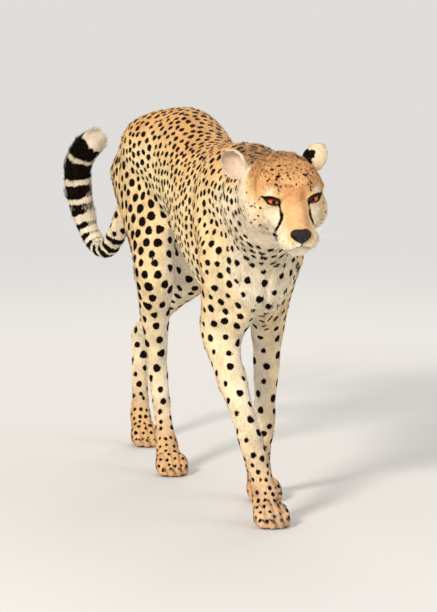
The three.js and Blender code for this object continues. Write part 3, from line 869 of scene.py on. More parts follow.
class Places:
    """Finds the numbers of the points in the 27 cells round a place."""

    def __init__(self, p, cell):
        self.cell = cell
        keys = np.floor(p / cell).astype(np.int64)
        self.low = keys.min(0) - 2
        self.size = keys.max(0) - self.low + 3
        flat = self.flat(keys)
        self.order = np.argsort(flat, kind="stable")
        self.flats = flat[self.order]

    def flat(self, keys):
        k = keys - self.low
        return (k[..., 0] * self.size[1] + k[..., 1]) * self.size[2] + k[..., 2]

    def near(self, q):
        key = np.floor(q / self.cell).astype(np.int64)
        found = []
        for i, j in itertools.product((-1, 0, 1), repeat=2):
            start = self.flat(key + (i, j, -1))
            a, b = np.searchsorted(self.flats, [start, start + 3])
            found.append(self.order[a:b])
        return np.concatenate(found)


REACH = 0.032  # m, beyond which a spot leaves no mark


def spots(centres, radius, long, seed):
    """How far inside the edge of a spot each point lies, in mm. The spots are uneven and lie along the coat."""
    rng = np.random.default_rng(seed)
    field = np.full(len(p), FAINT)
    places = Places(p, REACH)
    room = kd_tree(p[centres])
    for i in centres:
        near = places.near(p[i])
        others = np.array([found[0] for found in room.find_n(p[i], 9)[1:]]) - p[i]
        along = others @ flow[i] * math.sqrt(1 - 1 / long[i] ** 2)
        next_one = math.sqrt(((others ** 2).sum(1) - along ** 2).min()) / MM
        # Its mean radius leaves a gap to the spot next to it.
        r0 = min(radius[i] * rng.uniform(0.74, 1.16), 0.44 * (next_one - 2.0) * math.sqrt(long[i]))
        stretch = long[i] * rng.uniform(0.84, 1.06)
        turn = rng.normal(0, 0.25)
        a1, a2, a3 = rng.normal(0, (0.05, 0.05, 0.06))
        f1, f2, f3 = rng.uniform(0, 2 * math.pi, 3)
        across = np.cross(n[i], flow[i])
        e1 = flow[i] * math.cos(turn) + across * math.sin(turn)
        e2 = np.cross(n[i], e1)
        d = (p[near] - p[i]) / MM
        u, v = d @ e1 / math.sqrt(stretch), d @ e2 * math.sqrt(stretch)
        angle = np.arctan2(v, u)
        shape = r0 * (1 + a1 * np.cos(angle + f1) + a2 * np.cos(2 * angle + f2) + a3 * np.cos(3 * angle + f3))
        inside = shape - np.sqrt(u * u + v * v + (d @ n[i]) ** 2 * 0.15)
        inside = np.where(n[near] @ n[i] > 0.05, inside, FAINT)
        field[near] = np.maximum(field[near], inside)
    return field


# Spots: how long they are for their width, how far apart and how large, in mm. They differ from part to part.
back = step(up, 0.2, 0.8)
long = 1.12 + 0.22 * on.trunk + 0.2 * on.neck + 0.6 * on.head
belly = step(-up, 0.2, 0.7)
spacing = (
    on.trunk * (14.2 - 0.6 * back + 10 * belly) + on.neck * 16 + on.hindleg * 20 + on.foreleg * 18
    + on.tail * 21 + on.paw * 11.5 + on.head * 9.5 + on.ear * 12
)
by_head = on.head * (1 - step(on.head, 0.55, 0.95))  # the last of the neck's spots keep their size
spacing = spacing + 9 * by_head
radius = (
    on.trunk * (8.4 - 0.2 * back - 0.8 * belly) + on.neck * 7.6 + on.hindleg * 9.8 + on.foreleg * 6.6
    + on.tail * 7.2 + on.paw * 4.1 + on.head * 1.7 + on.ear * 2 + by_head * 4.5
)
shoulders = bell(py + 0.33, 0.14) * on.trunk * (1 - belly)
spacing = spacing + 3.5 * shoulders
radius = radius - 0.6 * shoulders
radius = radius - chest * 0.3 * (on.neck + on.trunk)
low_leg, ankle = legs * step(pz, 0.42, 0.2), step(pz, 0.18, 0.08)
spacing = spacing + 4.5 * low_leg
radius = radius + 0.3 * low_leg - 2.2 * low_leg * on.hindleg - 2.6 * legs * ankle
spacing = spacing - 11 * legs * ankle
inner = legs * step(-side_out, 0.3, 0.8)
spacing = spacing + 8 * inner
nape = on.neck * step(up, 0.45, 0.9)
spacing = spacing - 2.5 * nape
radius = radius - 0.4 * nape
cheek = on.head * step(hz, 14, -6)
spacing = spacing + 1.8 * cheek
radius = radius + 0.8 * cheek
crown = on.head * step(hy, -10, 30) * step(hz, 20, 50)
spacing = spacing - 3.0 * crown - 1.5 * on.head * step(hz, 24, 36) * (1 - crown)
radius = radius + 0.2 * crown + 0.2 * on.head * step(hz, 24, 36)

# Where they don't lie.
bare_face = (on.head > 0.5) & (
    ((x < 27) & (hy < -55) & (hz < 30))  # bridge of the nose
    | (hy < -82) | ((hz < -52) & (hy < -20)) | (eye_gap < 9)
    | ((hy < -48) & (hz < -2)) | ((x > 38) & (hz > -2) & (hz < 42) & (hy < 22)))
neck_low, neck_high = corners("neck")
throat = (on.neck > 0.5) & (up < -0.55) & (py < neck_low[1] + 0.11)
deep_belly = (on.trunk > 0.5) & (up < -0.8) & (py > -0.2)
allowed = ~(bare_face | throat | deep_belly) & (on.ear < 0.03) & ~((on.tail > 0.6) & (from_tip < 362))
allowed &= ~((on.paw > 0.5) & (pz < 0.012))
allowed &= ~((on.paw > 0.15) & (on.paw < 0.8) & (pz > 0.03))
from_ruff = lengths_of((np.c_[x, hy, hz] - (94, 48, 0)) / (30, 42, 44))
tint(PALE, 0.8 * bell(from_ruff, 0.8))
allowed &= ~((from_ruff < 1) | (on.head > 0.03) & (on.head < 0.93) & (hz < 42) & (hz > -50) & (x > 40))
centres = evened(scatter(spacing * MM, allowed, 11), allowed)
stamp(spots(centres, radius, long, 12))

# The tail: rings from its white tip, then arcs round the outer side of its bend.
TAIL_RINGS = [(15, 57), (67, 109), (123, 154), (165, 190)]
TAIL_ARCS = [(209, 223), (234, 247), (257, 270), (280, 293), (302, 315), (324, 336), (345, 356)]
ragged = 1.3 * Lumps(21, 0.022)(p) + 0.8 * Lumps(22, 0.009)(p)
on_tail = (on.tail > 0.4) & (tail_far < 0.06)
reach = np.where(on_tail, from_tip + ragged, 1e3)


def between(low, high):
    return np.minimum(reach - low, high - reach)


for low, high in TAIL_RINGS:
    stamp(between(low, high))
out_of_bend = unit(p - TAIL_ROUTE[tail_step(tail_t)])
outer = out_of_bend @ unit(np.array([-0.35, 0.25, -0.9]))
for low, high in TAIL_ARCS:
    stamp(between(low, high) - 2.4 * step(outer, -0.3, -1.0))
streak = between(174, 178) * step(outer, -0.3, 0.4)  # a pale gap in the last ring
mark = np.where(on_tail & (streak > -1.5), np.minimum(mark, -streak * 1.2), mark)

# The face: tear lines, eyeliner, lips, and the first marks round them. Lines are in the head's frame, in mm.
TEAR = [(27.6, -65, 5), (26.7, -65, -1.5), (25.7, -72.4, -9), (25.9, -77.3, -18), (29.7, -77.4, -28.2),
        (33.4, -72, -39.1), (36, -63, -48), (38.5, -58, -56), (38.5, -56, -64), (34, -56, -71)]
TEAR_HALF = [(0, 2.6), (0.1, 1.9), (0.22, 3.0), (0.38, 3.0), (0.5, 2.4), (0.65, 2.8), (0.85, 3.6), (1, 2.6)]
TEMPLE = [(33, -30, 46), (44, -14, 42), (54, -2, 30), (62, 14, 12)]
OUTER = [(58, -42, 10), (64, -30, -2), (69, -22, -10), (73, -10, -12)]
BROW = [(27, -62, 26), (29, -60, 32), (30, -56, 38)]
surface = tree_of(p, tris)
in_head = np.flatnonzero((np.abs(h) < (95, 140, 110)).all(1) & (on.tail < 0.1))
ph = p[in_head]


def stroke(line, half, sides=(1, -1), ragged=0.35, seed=31):
    """A drawn line on both sides of the face. half is its half width, or (place, half width) pairs."""
    waves = ragged * Lumps(seed, 0.006)(ph)
    for side in sides:
        d, t = along_line(ph, snapped(surface, line, 60, side))
        width = np.interp(t, *zip(*half)) if np.ndim(half) else half
        values = np.full(len(p), FAINT)
        values[in_head] = width - d / MM + waves
        stamp(values)


stroke(TEAR, TEAR_HALF, seed=32)
stroke(LIP, [(0, 1.2), (0.3, 1.5), (0.6, 2.2), (0.85, 3.4), (1, 4.4)], seed=33)
stroke(PHILTRUM, 1.1, sides=(1,), ragged=0.1)
stroke(OUTER, 0.8, ragged=1.1, seed=37)
stroke(BROW, 1.2, ragged=1.1, seed=38)
upper_lid = np.zeros(len(p))
for side in (-1, 1):
    places, far = on_eyeball(p, side)
    close = far < 40
    upper_lid[close] = np.maximum(upper_lid[close], step(places[close, 1], -1, 3))
rim = 3.0 + 1.2 * upper_lid + 0.3 * Lumps(39, 0.005)(p)
stamp(np.where(eye_gap < 20, rim - eye_gap, FAINT))
stroke([(49, -51, 12), (53, -46, 12.5), (58, -39, 12)], [(0, 3.2), (0.5, 2.2), (1, 0.6)], ragged=0.2, seed=40)
FACE_SPOTS = [  # place in the head's frame, radius, both in mm
    ((-25, -44, 47), 4.2), ((24, -46, 47), 4.2), ((-16, -18, 59), 3.2), ((-42, -42, 39), 2.6),
    ((-30, -22, 52), 3.6), ((-29, -50, 43), 3.0), ((30, -40, 47), 2.8), ((12, -30, 56), 2.6),
    ((-8, -48, 50), 2.4), ((0, -84, -86), 4.2), ((-12, -70, -86), 4.8), ((14, -68, -86), 4.6),
]
BOTH_SIDES = [
    ((63.5, -27, -4), 1.8), ((68.5, -20, -12), 2.0), ((24, -90, -80), 5.2), ((33, -74, -78), 4.6),
    ((41, -52, -60), 4.5),
]
for (a, b, c), r in BOTH_SIDES:
    FACE_SPOTS += [((a, b, c), r), ((-a, b, c), r)]
wobble = 0.5 * Lumps(41, 0.007)(p)
for place, r in FACE_SPOTS:
    stamp(r + wobble - lengths_of(p - on_surface(surface, place)[0]) / MM)
PAD_ROWS = [  # the rows of dots that the whiskers grow from: front and back ends
    ((13, -119, -49), (34, -84, -46)), ((13, -120, -54), (36, -82, -52)), ((14, -118, -60), (36, -82, -59)),
]
whisker_roots = []
for side in (1, -1):
    for row, (a, b) in enumerate(np.array(PAD_ROWS, float)):
        for t in np.linspace(0.12, 1, 6 + (row > 0)):
            place, normal = on_surface(surface, np.array([side, 1, 1]) * mix(a, b, t))
            whisker_roots.append((place, normal, side, row, t))
            stamp(0.75 - lengths_of(p - place) / MM)

# The backs of the ears are black with a pale edge; inside they are pale and shaded. These are the way that
# the right and the left ear's hollow faces, and the way that its tip points, in the head's frame.
EAR_OPENS = {-1: (-0.68, -0.73, 0.05), 1: (0.67, 0.45, -0.58)}
EAR_TIPS = {-1: (-0.51, 0.51, 0.69), 1: (0.49, 0.33, 0.81)}
inner_ear = np.zeros(len(p))
for side, name in ((-1, "ear_right"), (1, "ear_left")):
    at = (on.ear > 0.25) & (hx * side > 0)
    opening, tip = unit(EAR_OPENS[side]), unit(EAR_TIPS[side])
    d = h - HEAD.into(centre_of(name)[None]) / MM
    faces_open = (n @ HEAD.axes.T) @ opening
    inner_ear = np.where(at, np.maximum(inner_ear, step(faces_open, -0.1, 0.35)), inner_ear)
    behind = step(-faces_open, -0.05, 0.35)
    edge = lengths_of(np.cross(d, opening))
    rise = d @ tip
    beside = d @ unit(np.cross(tip, opening)) * side
    patch = np.minimum(24 - edge, np.minimum(9 - rise, 11 + beside)) + 1.2 * Lumps(44, 0.009)(p)
    stamp(np.where(at & (behind > 0.5), patch, FAINT))
tint(EAR_INSIDE, inner_ear)
tint(EAR_SHADE, 0.4 * net.smooth(inner_ear * (net.smooth(inner_ear, 8) > 0.93), 4))

# Brown: lines over the temples, streaks on the forehead and by the ears, painted shade under the jaw, and dark
# skin with painted shade at the mouth's corners.
for side in (1, -1):
    d, _ = along_line(ph, snapped(surface, TEMPLE, 40, side))
    line = np.zeros(len(p))
    line[in_head] = step(d / MM, 3.4, 1.4) * (0.55 + 0.35 * Lumps(45, 0.006)(ph))
    tint(UMBER, np.clip(line, 0, 1) * 0.6)
tint(UMBER, 0.7 * (step(Lumps(46, 0.0045, 40)(p), 0.1, 0.8) * face * step(hz, 20, 36)))
tint(UMBER, 0.8 * face * blob((50, 36, 40), (8, 14, 12)) * step(Lumps(47, 0.006, 40)(p), -0.3, 0.6))
# Painted shade under the jaw.
tint(UMBER, 0.5 * (face * step(-hz, 74, 86) * step(hy, -92, -70)))
# Dark skin behind the mouth's corners, darkened further as painted shade.
mouth_corner_skin_and_shade = bell(lengths_of((np.abs(h) - (44, 50, 64)) / (1.0, 1.5, 1.0)), 12)
tint(UMBER, 0.85 * mouth_corner_skin_and_shade * step(-hz, 46, 56) * face)

# A dark mottle over the nape and shoulders, dark skin under the soles, and a little unevenness all over.
mottle = Lumps(51, 0.012)(p) + 0.6 * Lumps(52, 0.03)(p)
ridge = mix(np.full(len(p), HEAD.origin[0]), MIDDLE, step(py, -0.55, -0.35))
crest = step(np.abs(px - ridge), 0.055, 0.02) * step(up, 0.5, 0.85)
crest = crest * step(py, -0.16, -0.28) * (1 - step(-py, 0.6, 0.66))
tint(UMBER, crest * (0.15 + 0.7 * step(mottle, -0.6, 0.8)) * 0.8)
stamp(np.where(crest > 0.3, 3.2 * (Lumps(55, 0.007, 40)(p) + 0.5 * Lumps(56, 0.02)(p) - 1.0) * crest, FAINT))
tint(PAD_BROWN, on.paw * step(-n[:, 2], 0.6, 0.9) * step(pz, 0.012, 0.004))
patchy = 1 + 0.06 * Lumps(53, 0.05)(p)[:, None] + 0.05 * Lumps(54, 0.012)(p)[:, None]
colour = np.clip(colour * patchy, 0, 1)
attribute(mesh, "ground", colour, "FLOAT_COLOR")
attribute(mesh, "mark", mark)

# ---- tufts of the coat

# Each part's tufts: length, width and lift (mm, mm, degrees).
TUFTS = {
    "head": (4.6, 0.55, 11), "ear": (4.4, 0.5, 11), "neck": (9.5, 1.0, 10), "trunk": (9.2, 1.15, 8.5),
    "tail": (10, 1.1, 15), "foreleg": (7.4, 1.0, 8.5), "hindleg": (7.8, 1.0, 8.5), "paw": (4.2, 0.6, 9),
}
COVER = 1.9  # how many tufts lie over each place
BEND, REST = 0.55, 0.45  # a tuft's length up to its bend, and from there
TUFT_SOLE = 0.0006  # the height of the lowest tufts, in m
# A tuft's triangles. Its points are two at the root, two at the bend and a tip.
BLADE = np.array([[0, 1, 2], [0, 2, 3], [3, 2, 4]])
# Where they lie on the map, from their tuft's place on it.
BLADE_UV = np.array([[-1, -1], [1, -1], [1, 0], [-1, 0], [0, 1]]) * 0.0015
length, width, lift = (sum(soft[name] * TUFTS[name][k] for name in TUFTS) for k in range(3))


def lengthen(weight, by, raise_by):
    """Makes the tufts longer by so many mm where the weight is 1, and raises them by so many degrees."""
    global length, lift
    length = length + by * weight
    lift = lift + raise_by * weight


lengthen(on.neck * step(-n[:, 2], -0.1, 0.5), 1.5, 1)
lengthen(chest, 1.5, 1)
lengthen(nape * step(mottle, -1.0, 1.0), 4, 8)
lengthen(crest, 3, 5)
lengthen(on.trunk * step(-up, 0.4, 0.8), 5, 4)
lengthen(face * step(hz, 34, 50) * step(hy, -20, 20), 3, 9)
lengthen(face * step(x, 38, 52) * step(-hz, 0, 26), 1.5, 2)
lengthen(face * step(-hz, 60, 72), 1.5, 4)
lengthen(face * step(-hy, 70, 96), -1.6, -2)
lengthen(face * bell(eye_gap, 7), -2.0, -3)
lengthen(inner_ear, 3.5, 6)
lengthen(on.tail * step(from_tip, 260, 60), 6, 6)
rear_of_leg = legs * step(n[:, 1], 0.3, 0.8)
lengthen(rear_of_leg * step(pz, 0.12, 0.3), 3, 4)
lengthen(on.hindleg * rear_of_leg * step(pz, 0.35, 0.5), 3, 3)
width = width * (1 - 0.25 * face * step(-hy, 60, 90))
clump = 0.16 * Lumps(61, 0.035)(p) + 0.12 * Lumps(62, 0.012)(p)
length = np.maximum(net.smooth(length, 3), 2.4) * (1 + clump)
lift = np.clip(lift * (1 + 2.0 * clump), 6, 34)

under_sole = on.paw * step(-n[:, 2], 0.45, 0.7) * step(pz, 0.016, 0.008)
in_lip = np.zeros(len(p))
for side in (1, -1):
    d, _ = along_line(p, snapped(surface, LIP, 40, side))
    in_lip = np.maximum(in_lip, bell(d / MM, 1.4))
nose_gap = lengths_of((h - (0, -115, -43)) / (1.45, 1, 1))
bare = most(under_sole, 0.9 * in_lip, step(eye_gap, 1.6, 0.2), step(nose_gap, 14.5, 12.5))
# Tufts on a square metre. A tuft covers 0.72 of its length times its width.
density = COVER * (1 - bare) * (1 - 0.45 * inner_ear) / (0.72 * length * np.maximum(width, 0.3)) / MM ** 2


def capsule(q, axis, across):
    """Place on an unwrap round an axis: angle round it, and distance along it and over its round ends."""
    axis = np.asarray(axis, float)
    far, t = along_line(q, axis)
    lengths = lengths_of(np.diff(axis, axis=0))
    start = np.concatenate([[0], np.cumsum(lengths)])
    s = t * start[-1]
    k = np.clip(np.searchsorted(start, s, side="right") - 1, 0, len(axis) - 2)
    ahead = unit(np.diff(axis, axis=0))[k]
    foot = axis[k] + (s - start[k])[:, None] * ahead
    away = q - foot
    rise = np.arcsin(np.clip((unit(away) * ahead).sum(1), -1, 1))
    rise = np.where((t < 1e-4) | (t > 1 - 1e-4), rise, 0)
    e1 = unit(across - (ahead @ across)[:, None] * ahead)
    e2 = np.cross(ahead, e1)
    angle = np.arctan2((away * e2).sum(1), (away * e1).sum(1))
    return np.stack([angle, s + rise * np.maximum(far, 1e-4)], axis=1)


def leg_line(*names):
    """A line down through the middles of a leg's solids: of their upper, middle and lower parts."""
    line = []
    for name in names:
        q = points_of(NODES[name].data)
        top, tall = q[:, 2].max(), np.ptp(q[:, 2])
        for a, b in ((0.0, 0.25), (0.4, 0.6), (0.75, 1.0)):
            line.append(q[(q[:, 2] <= top - tall * a + 0.01) & (q[:, 2] >= top - tall * b - 0.01)].mean(0))
    return np.array(sorted(line, key=lambda a: -a[2]))


SIDE, DOWN = np.array([1.0, 0.0, 0.0]), np.array([0.0, 0.0, -1.0])  # where an unwrap's angles start
# The lines that the head, the neck and the trunk are unwrapped round.
head_line = HEAD.out(np.array([(0, -80, -35), (0, -40, 0), (0, 20, 5)]) * MM)
neck_line = [HEAD.out((0, 0.06, -0.02)), (MIDDLE, neck_high[1] - 0.06, centre_of("neck")[2])]
(_, front, _), (_, rear, _) = corners("trunk")
(mid, _, level) = centre_of("trunk")
trunk_line = [(mid, front + 0.13, level), (mid, rear - 0.13, level + 0.02)]


def coat_parts():
    """Each piece of the coat: its name, which points belong, and the line and side that it's unwrapped by."""
    part = np.argmax(np.stack(list(soft.values())), axis=0)
    of = {name: part == k for k, name in enumerate(soft)}
    for name, side in (("left", hx > 0), ("right", hx <= 0)):
        yield f"coat_head_{name}", of["head"] & side, head_line, DOWN
        yield f"coat_ear_{name}", of["ear"] & side, None, None
    yield "coat_neck", of["neck"], neck_line, DOWN
    for name, side in (("left", px > MIDDLE), ("right", px <= MIDDLE)):
        yield f"coat_trunk_{name}", of["trunk"] & side, trunk_line, DOWN
    yield "coat_tail", of["tail"], TAIL_ROUTE[::6], SIDE
    for leg in ("foreleg", "hindleg"):
        for side in ("left", "right"):
            nodes = (f"{leg}_{side}_upper", f"{leg}_{side}_lower", f"{leg.replace('leg', 'paw')}_{side}")
            mine = np.isin(node_at, [FLESH.index(node) for node in nodes])
            yield f"coat_{leg}_{side}", mine & (of[leg] | of["paw"]), leg_line(*nodes), SIDE


def ear_unwrap(q, normal):
    """Each face of an ear, its front and its back, laid out flat beside the other."""
    side = 1 if HEAD.into(q)[:, 0].mean() > 0 else -1
    opening, rise = HEAD.turn(unit(EAR_OPENS[side])), HEAD.turn(unit(EAR_TIPS[side]))
    across = np.cross(opening, rise)
    front = normal @ opening > 0
    u, v = q @ across, q @ rise
    u = (u - u.min()) / np.ptp(u) * 0.46
    return np.stack([u + 0.5 * front, (v - v.min()) / np.ptp(v) * 0.92], axis=1)


def on_skin(q, values):
    """The values of the skin's points at the places on the skin nearest to q."""
    hits = [surface.find_nearest(Vector(a)) for a in q]
    corners = tris[np.array([hit[2] for hit in hits])]
    where = np.array([hit[0] for hit in hits])
    a, b, c = (p[corners[:, k]] for k in range(3))
    across = np.cross(b - a, c - a)
    size = (across ** 2).sum(1)
    wb = (np.cross(where - a, c - a) * across).sum(1) / size
    wc = (np.cross(b - a, where - a) * across).sum(1) / size
    w = np.stack([1 - wb - wc, wb, wc], axis=1)
    return (values[corners] * w).sum(1)


class Tufts:
    """One piece of the coat: flat blades, rooted in the skin, bent back along the lie of the coat."""

    def __init__(self, mine, axis, across, seed):
        self.rng = np.random.default_rng(seed)
        held = tris[mine[tris].sum(1) >= 2]
        self.tri, self.w = self.roots(held)
        self.root = self.at(p)
        self.n = unit(self.at(n))
        ahead = tangent(self.at(flow), self.n)
        size = len(self.root)
        turn = self.rng.normal(0, math.radians(11), size)[:, None]
        across_flow = np.cross(self.n, ahead)
        self.ahead = unit(ahead * np.cos(turn) + across_flow * np.sin(turn))
        roll = self.rng.normal(0, math.radians(16), size)[:, None]
        self.side = np.cross(self.ahead, self.n) * np.cos(roll) + self.n * np.sin(roll)
        self.length = self.at(length) * MM * self.rng.uniform(0.72, 1.25, size)
        self.width = self.at(width) * MM * self.rng.uniform(0.8, 1.2, size)
        self.lift = np.radians(self.at(lift)) * self.rng.uniform(0.55, 1.45, size)
        if axis is None:
            self.place = ear_unwrap(self.root, self.n)
        else:
            self.place = capsule(self.root, axis, across)
            self.place = (self.place - self.place.min(0)) / np.ptp(self.place, axis=0)
        self.place = 0.003 + self.place * 0.991  # within the map's edges
        self.marks = [self.at(mark), self.mark_ahead(BEND), self.mark_ahead(0.9)]
        self.split()

    def mark_ahead(self, share, which=slice(None)):
        """The skin's mark under the blades, at a share of their length."""
        return on_skin(self.root[which] + share * self.length[which, None] * self.ahead[which], mark)

    def split(self):
        """Keeps a blade that starts in one spot and reaches the next from bridging the gap between them."""
        start, middle, _ = self.marks
        both = np.flatnonzero((start > -1) & (middle > -1))
        gap = self.mark_ahead(0.28, both)
        middle[both] = np.where(gap < np.minimum(0, np.minimum(start, middle)[both]), gap, middle[both])

    def roots(self, held):
        """A triangle and the weights of its corners for each root, as dense as density says."""
        a, b, c = (p[held[:, k]] for k in range(3))
        area = lengths_of(np.cross(b - a, c - a)) / 2
        count = np.floor(area * density[held].mean(1) + self.rng.random(len(held))).astype(int)
        which = np.repeat(np.arange(len(held)), count)
        r, s = np.sqrt(self.rng.random(len(which))), self.rng.random(len(which))
        return held[which], np.stack([1 - r, r * (1 - s), r * s], axis=1)

    def at(self, values):
        """The values of the skin's points, at the roots."""
        w = self.w if values.ndim == 1 else self.w[:, :, None]
        return (values[self.tri] * w).sum(1)

    def made(self, name):
        up1, up2 = self.lift[:, None], self.lift[:, None] * 0.15
        long = self.length[:, None]
        root = self.root - self.n * 0.4 * MM
        bend = self.side * self.rng.normal(0, 0.05, (len(root), 1)) * long
        middle = root + BEND * long * (np.cos(up1) * self.ahead + np.sin(up1) * self.n) + 0.4 * bend
        tip = middle + REST * long * (np.cos(up2) * self.ahead + np.sin(up2) * self.n) + bend
        half = self.side * self.width[:, None] / 2
        points = np.stack([root - 0.8 * half, root + 0.8 * half, middle + half, middle - half, tip], axis=1)
        points[:, :, 2] = np.maximum(points[:, :, 2], TUFT_SOLE)
        faces = (5 * np.arange(len(root))[:, None, None] + BLADE).reshape(-1, 3)
        obj = new_object(name, points.reshape(-1, 3), faces)
        data = obj.data
        shade = unit(0.82 * self.n + 0.18 * np.cross(self.side, self.ahead))
        attribute(data, "custom_normal", np.repeat(shade, 5, axis=0), "FLOAT_VECTOR")
        attribute(data, "ground", np.repeat(np.clip(self.at(colour), 0, 1), 5, axis=0), "FLOAT_COLOR")
        start, middle, end = self.marks
        furry = np.stack([start, start, middle, middle, end], axis=1)
        furry = furry + self.rng.normal(0, 0.4, (len(root), 1))
        attribute(data, "mark", furry.ravel())
        attribute(data, "along", np.tile([0, 0, BEND, BEND, 1], len(root)))
        attribute(data, "chance", np.repeat(self.rng.random(len(root)), 5))
        uv = (self.place[:, None] + BLADE_UV)[:, BLADE.ravel()]
        layer = data.uv_layers.new(name="OFBake")
        layer.uv.foreach_set("vector", np.ascontiguousarray(np.clip(uv, 0, 1), np.float32).ravel())
        return obj


coat = [Tufts(*part, seed).made(name) for seed, (name, *part) in enumerate(coat_parts(), 100)]


# ---- nodes of materials and of the world

class Nodes:
    """Builds the nodes of a material or of the world. A socket takes a value or another node's output."""

    def __init__(self, owner):
        owner.use_nodes = True
        self.owner, self.tree = owner, owner.node_tree
        self.tree.nodes.clear()

    def add(self, kind, sockets=None, **settings):
        node = self.tree.nodes.new("ShaderNode" + kind)
        for key, value in settings.items():
            setattr(node, key, value)
        for key, value in (sockets or {}).items():
            if isinstance(value, bpy.types.NodeSocket):
                self.tree.links.new(value, node.inputs[key])
            else:
                node.inputs[key].default_value = value
        return node

    def point(self, name, out="Fac"):
        """An attribute stored at the mesh's points."""
        return self.add("Attribute", attribute_name=name).outputs[out]

    def place(self):
        return self.add("TexCoord").outputs["Object"]

    def math(self, operation, a, b=0.0, c=0.0):
        return self.add("Math", {0: a, 1: b, 2: c}, operation=operation).outputs[0]

    def scaled(self, vector, by):
        return self.add("VectorMath", {0: vector, 1: by}, operation="MULTIPLY").outputs[0]

    def between(self, value, low, high, out_low=0.0, out_high=1.0, kind="SMOOTHSTEP"):
        return self.add("MapRange", {"Value": value, "From Min": low, "From Max": high, "To Min": out_low,
                                     "To Max": out_high}, interpolation_type=kind).outputs["Result"]

    def mix(self, amount, a, b):
        a, b = (c if isinstance(c, bpy.types.NodeSocket) else (*c, 1) for c in (a, b))
        return self.add("Mix", {0: amount, 6: a, 7: b}, data_type="RGBA").outputs[2]

    def noise(self, scale, detail=3.0, where=None):
        node = self.add("TexNoise", {"Vector": where or self.place(), "Scale": scale, "Detail": detail})
        return node.outputs["Fac"]

    def bump(self, height, strength, distance):
        node = self.add("Bump", {"Height": height, "Strength": strength, "Distance": distance})
        return node.outputs["Normal"]

    def brightness(self, colour, value):
        return self.add("HueSaturation", {"Color": colour, "Value": value}).outputs["Color"]

    def blend(self, amount, a, b):
        return self.add("MixShader", {"Fac": amount, 1: a.outputs[0], 2: b.outputs[0]}).outputs["Shader"]

    def principled(self, **sockets):
        """Ends in a Principled shader. An underscore stands for a space in its sockets' names."""
        shader = self.add("BsdfPrincipled", {key.replace("_", " "): value for key, value in sockets.items()})
        self.add("OutputMaterial", {"Surface": shader.outputs["BSDF"]})
        return self.owner


# ---- floor, light and camera

BACKDROP = (0.74, 0.725, 0.70, 1)


def seen_rays(s):
    """1 for the rays that show the backdrop itself: the camera's, and those that mirror or pass through."""
    path = s.add("LightPath").outputs
    mirrored = s.math("MAXIMUM", path["Is Camera Ray"], path["Is Glossy Ray"])
    return s.math("MAXIMUM", mirrored, path["Is Transmission Ray"])


def plain_floor():
    """A pale floor that keeps the shadow near the animal and runs out into the backdrop's colour."""
    mesh = bpy.data.meshes.new("floor")
    mesh.from_pydata([(-30, -30, 0), (30, -30, 0), (30, 30, 0), (-30, 30, 0)], [], [(0, 1, 2, 3)])
    s = Nodes(bpy.data.materials.new("floor"))
    ramp = s.add("ValToRGB", {"Fac": s.add("TexNoise", {"Scale": 0.6}).outputs["Fac"]})
    for element, colour in zip(ramp.color_ramp.elements, ((0.64, 0.625, 0.60, 1), (0.70, 0.685, 0.66, 1))):
        element.color = colour
    paint = s.add("BsdfPrincipled", {"Base Color": ramp.outputs["Color"], "Roughness": 0.9})
    far = s.add("VectorMath", {0: s.place()}, operation="LENGTH").outputs["Value"]
    share = s.math("MULTIPLY", s.between(far, 1.6, 4.2), seen_rays(s))
    s.add("OutputMaterial", {"Surface": s.blend(share, paint, s.add("Emission", {"Color": BACKDROP}))})
    mesh.materials.append(s.owner)
    return add_object("floor", mesh)


def area_lamp(name, where, towards, size, power, colour):
    lamp = bpy.data.lights.new(name, "AREA")
    lamp.size = size
    lamp.energy = power
    lamp.color = colour
    obj = add_object(name, lamp)
    obj.location = where
    obj.rotation_euler = (Vector(towards) - Vector(where)).to_track_quat("-Z", "Y").to_euler()


def light_the_scene():
    """A warm key from the animal's right, a weak fill, a light from behind, and even light all round."""
    area_lamp("key", (-5.0, -4.8, 4.2), (0, -0.2, 0.45), 1.4, 540, (1.0, 0.955, 0.88))
    area_lamp("fill", (4.5, -3.5, 2.2), (0, 0, 0.4), 3.5, 70, (0.97, 0.97, 1.0))
    area_lamp("back", (1.5, 4.5, 3.5), (0, 0.2, 0.5), 3.0, 110, (1.0, 0.96, 0.90))
    world = bpy.data.worlds.new("studio")
    s = Nodes(world)
    light = s.add("Background", {"Color": (0.98, 0.97, 0.98, 1), "Strength": 0.6})
    shown = s.add("Background", {"Color": BACKDROP})
    s.add("OutputWorld", {"Surface": s.blend(seen_rays(s), light, shown)})
    bpy.context.scene.world = world


def set_camera():
    """A long lens in front of the animal and to its right, looking a little down."""
    lens = bpy.data.cameras.new("camera")
    lens.sensor_width = 36
    lens.lens = 214.5
    lens.clip_end = 100
    obj = add_object("camera", lens)
    obj.location = HEAD.origin + (-1.8853, -6.2180, 0.631)
    obj.rotation_euler = (math.radians(90 - 7.3), 0, math.radians(-15.8))
    bpy.context.scene.camera = obj


floor = plain_floor()
light_the_scene()
set_camera()
bpy.context.scene.view_settings.view_transform = "Standard"


# ---- eyes, nose and claws

def grid_faces(rows, around):
    """Quads between rows of points that each run round in a ring."""
    row = np.arange(rows - 1)[:, None] * around
    k = np.arange(around)
    ahead = (k + 1) % around
    return np.stack([row + k, row + ahead, row + around + ahead, row + around + k], -1).reshape(-1, 4)


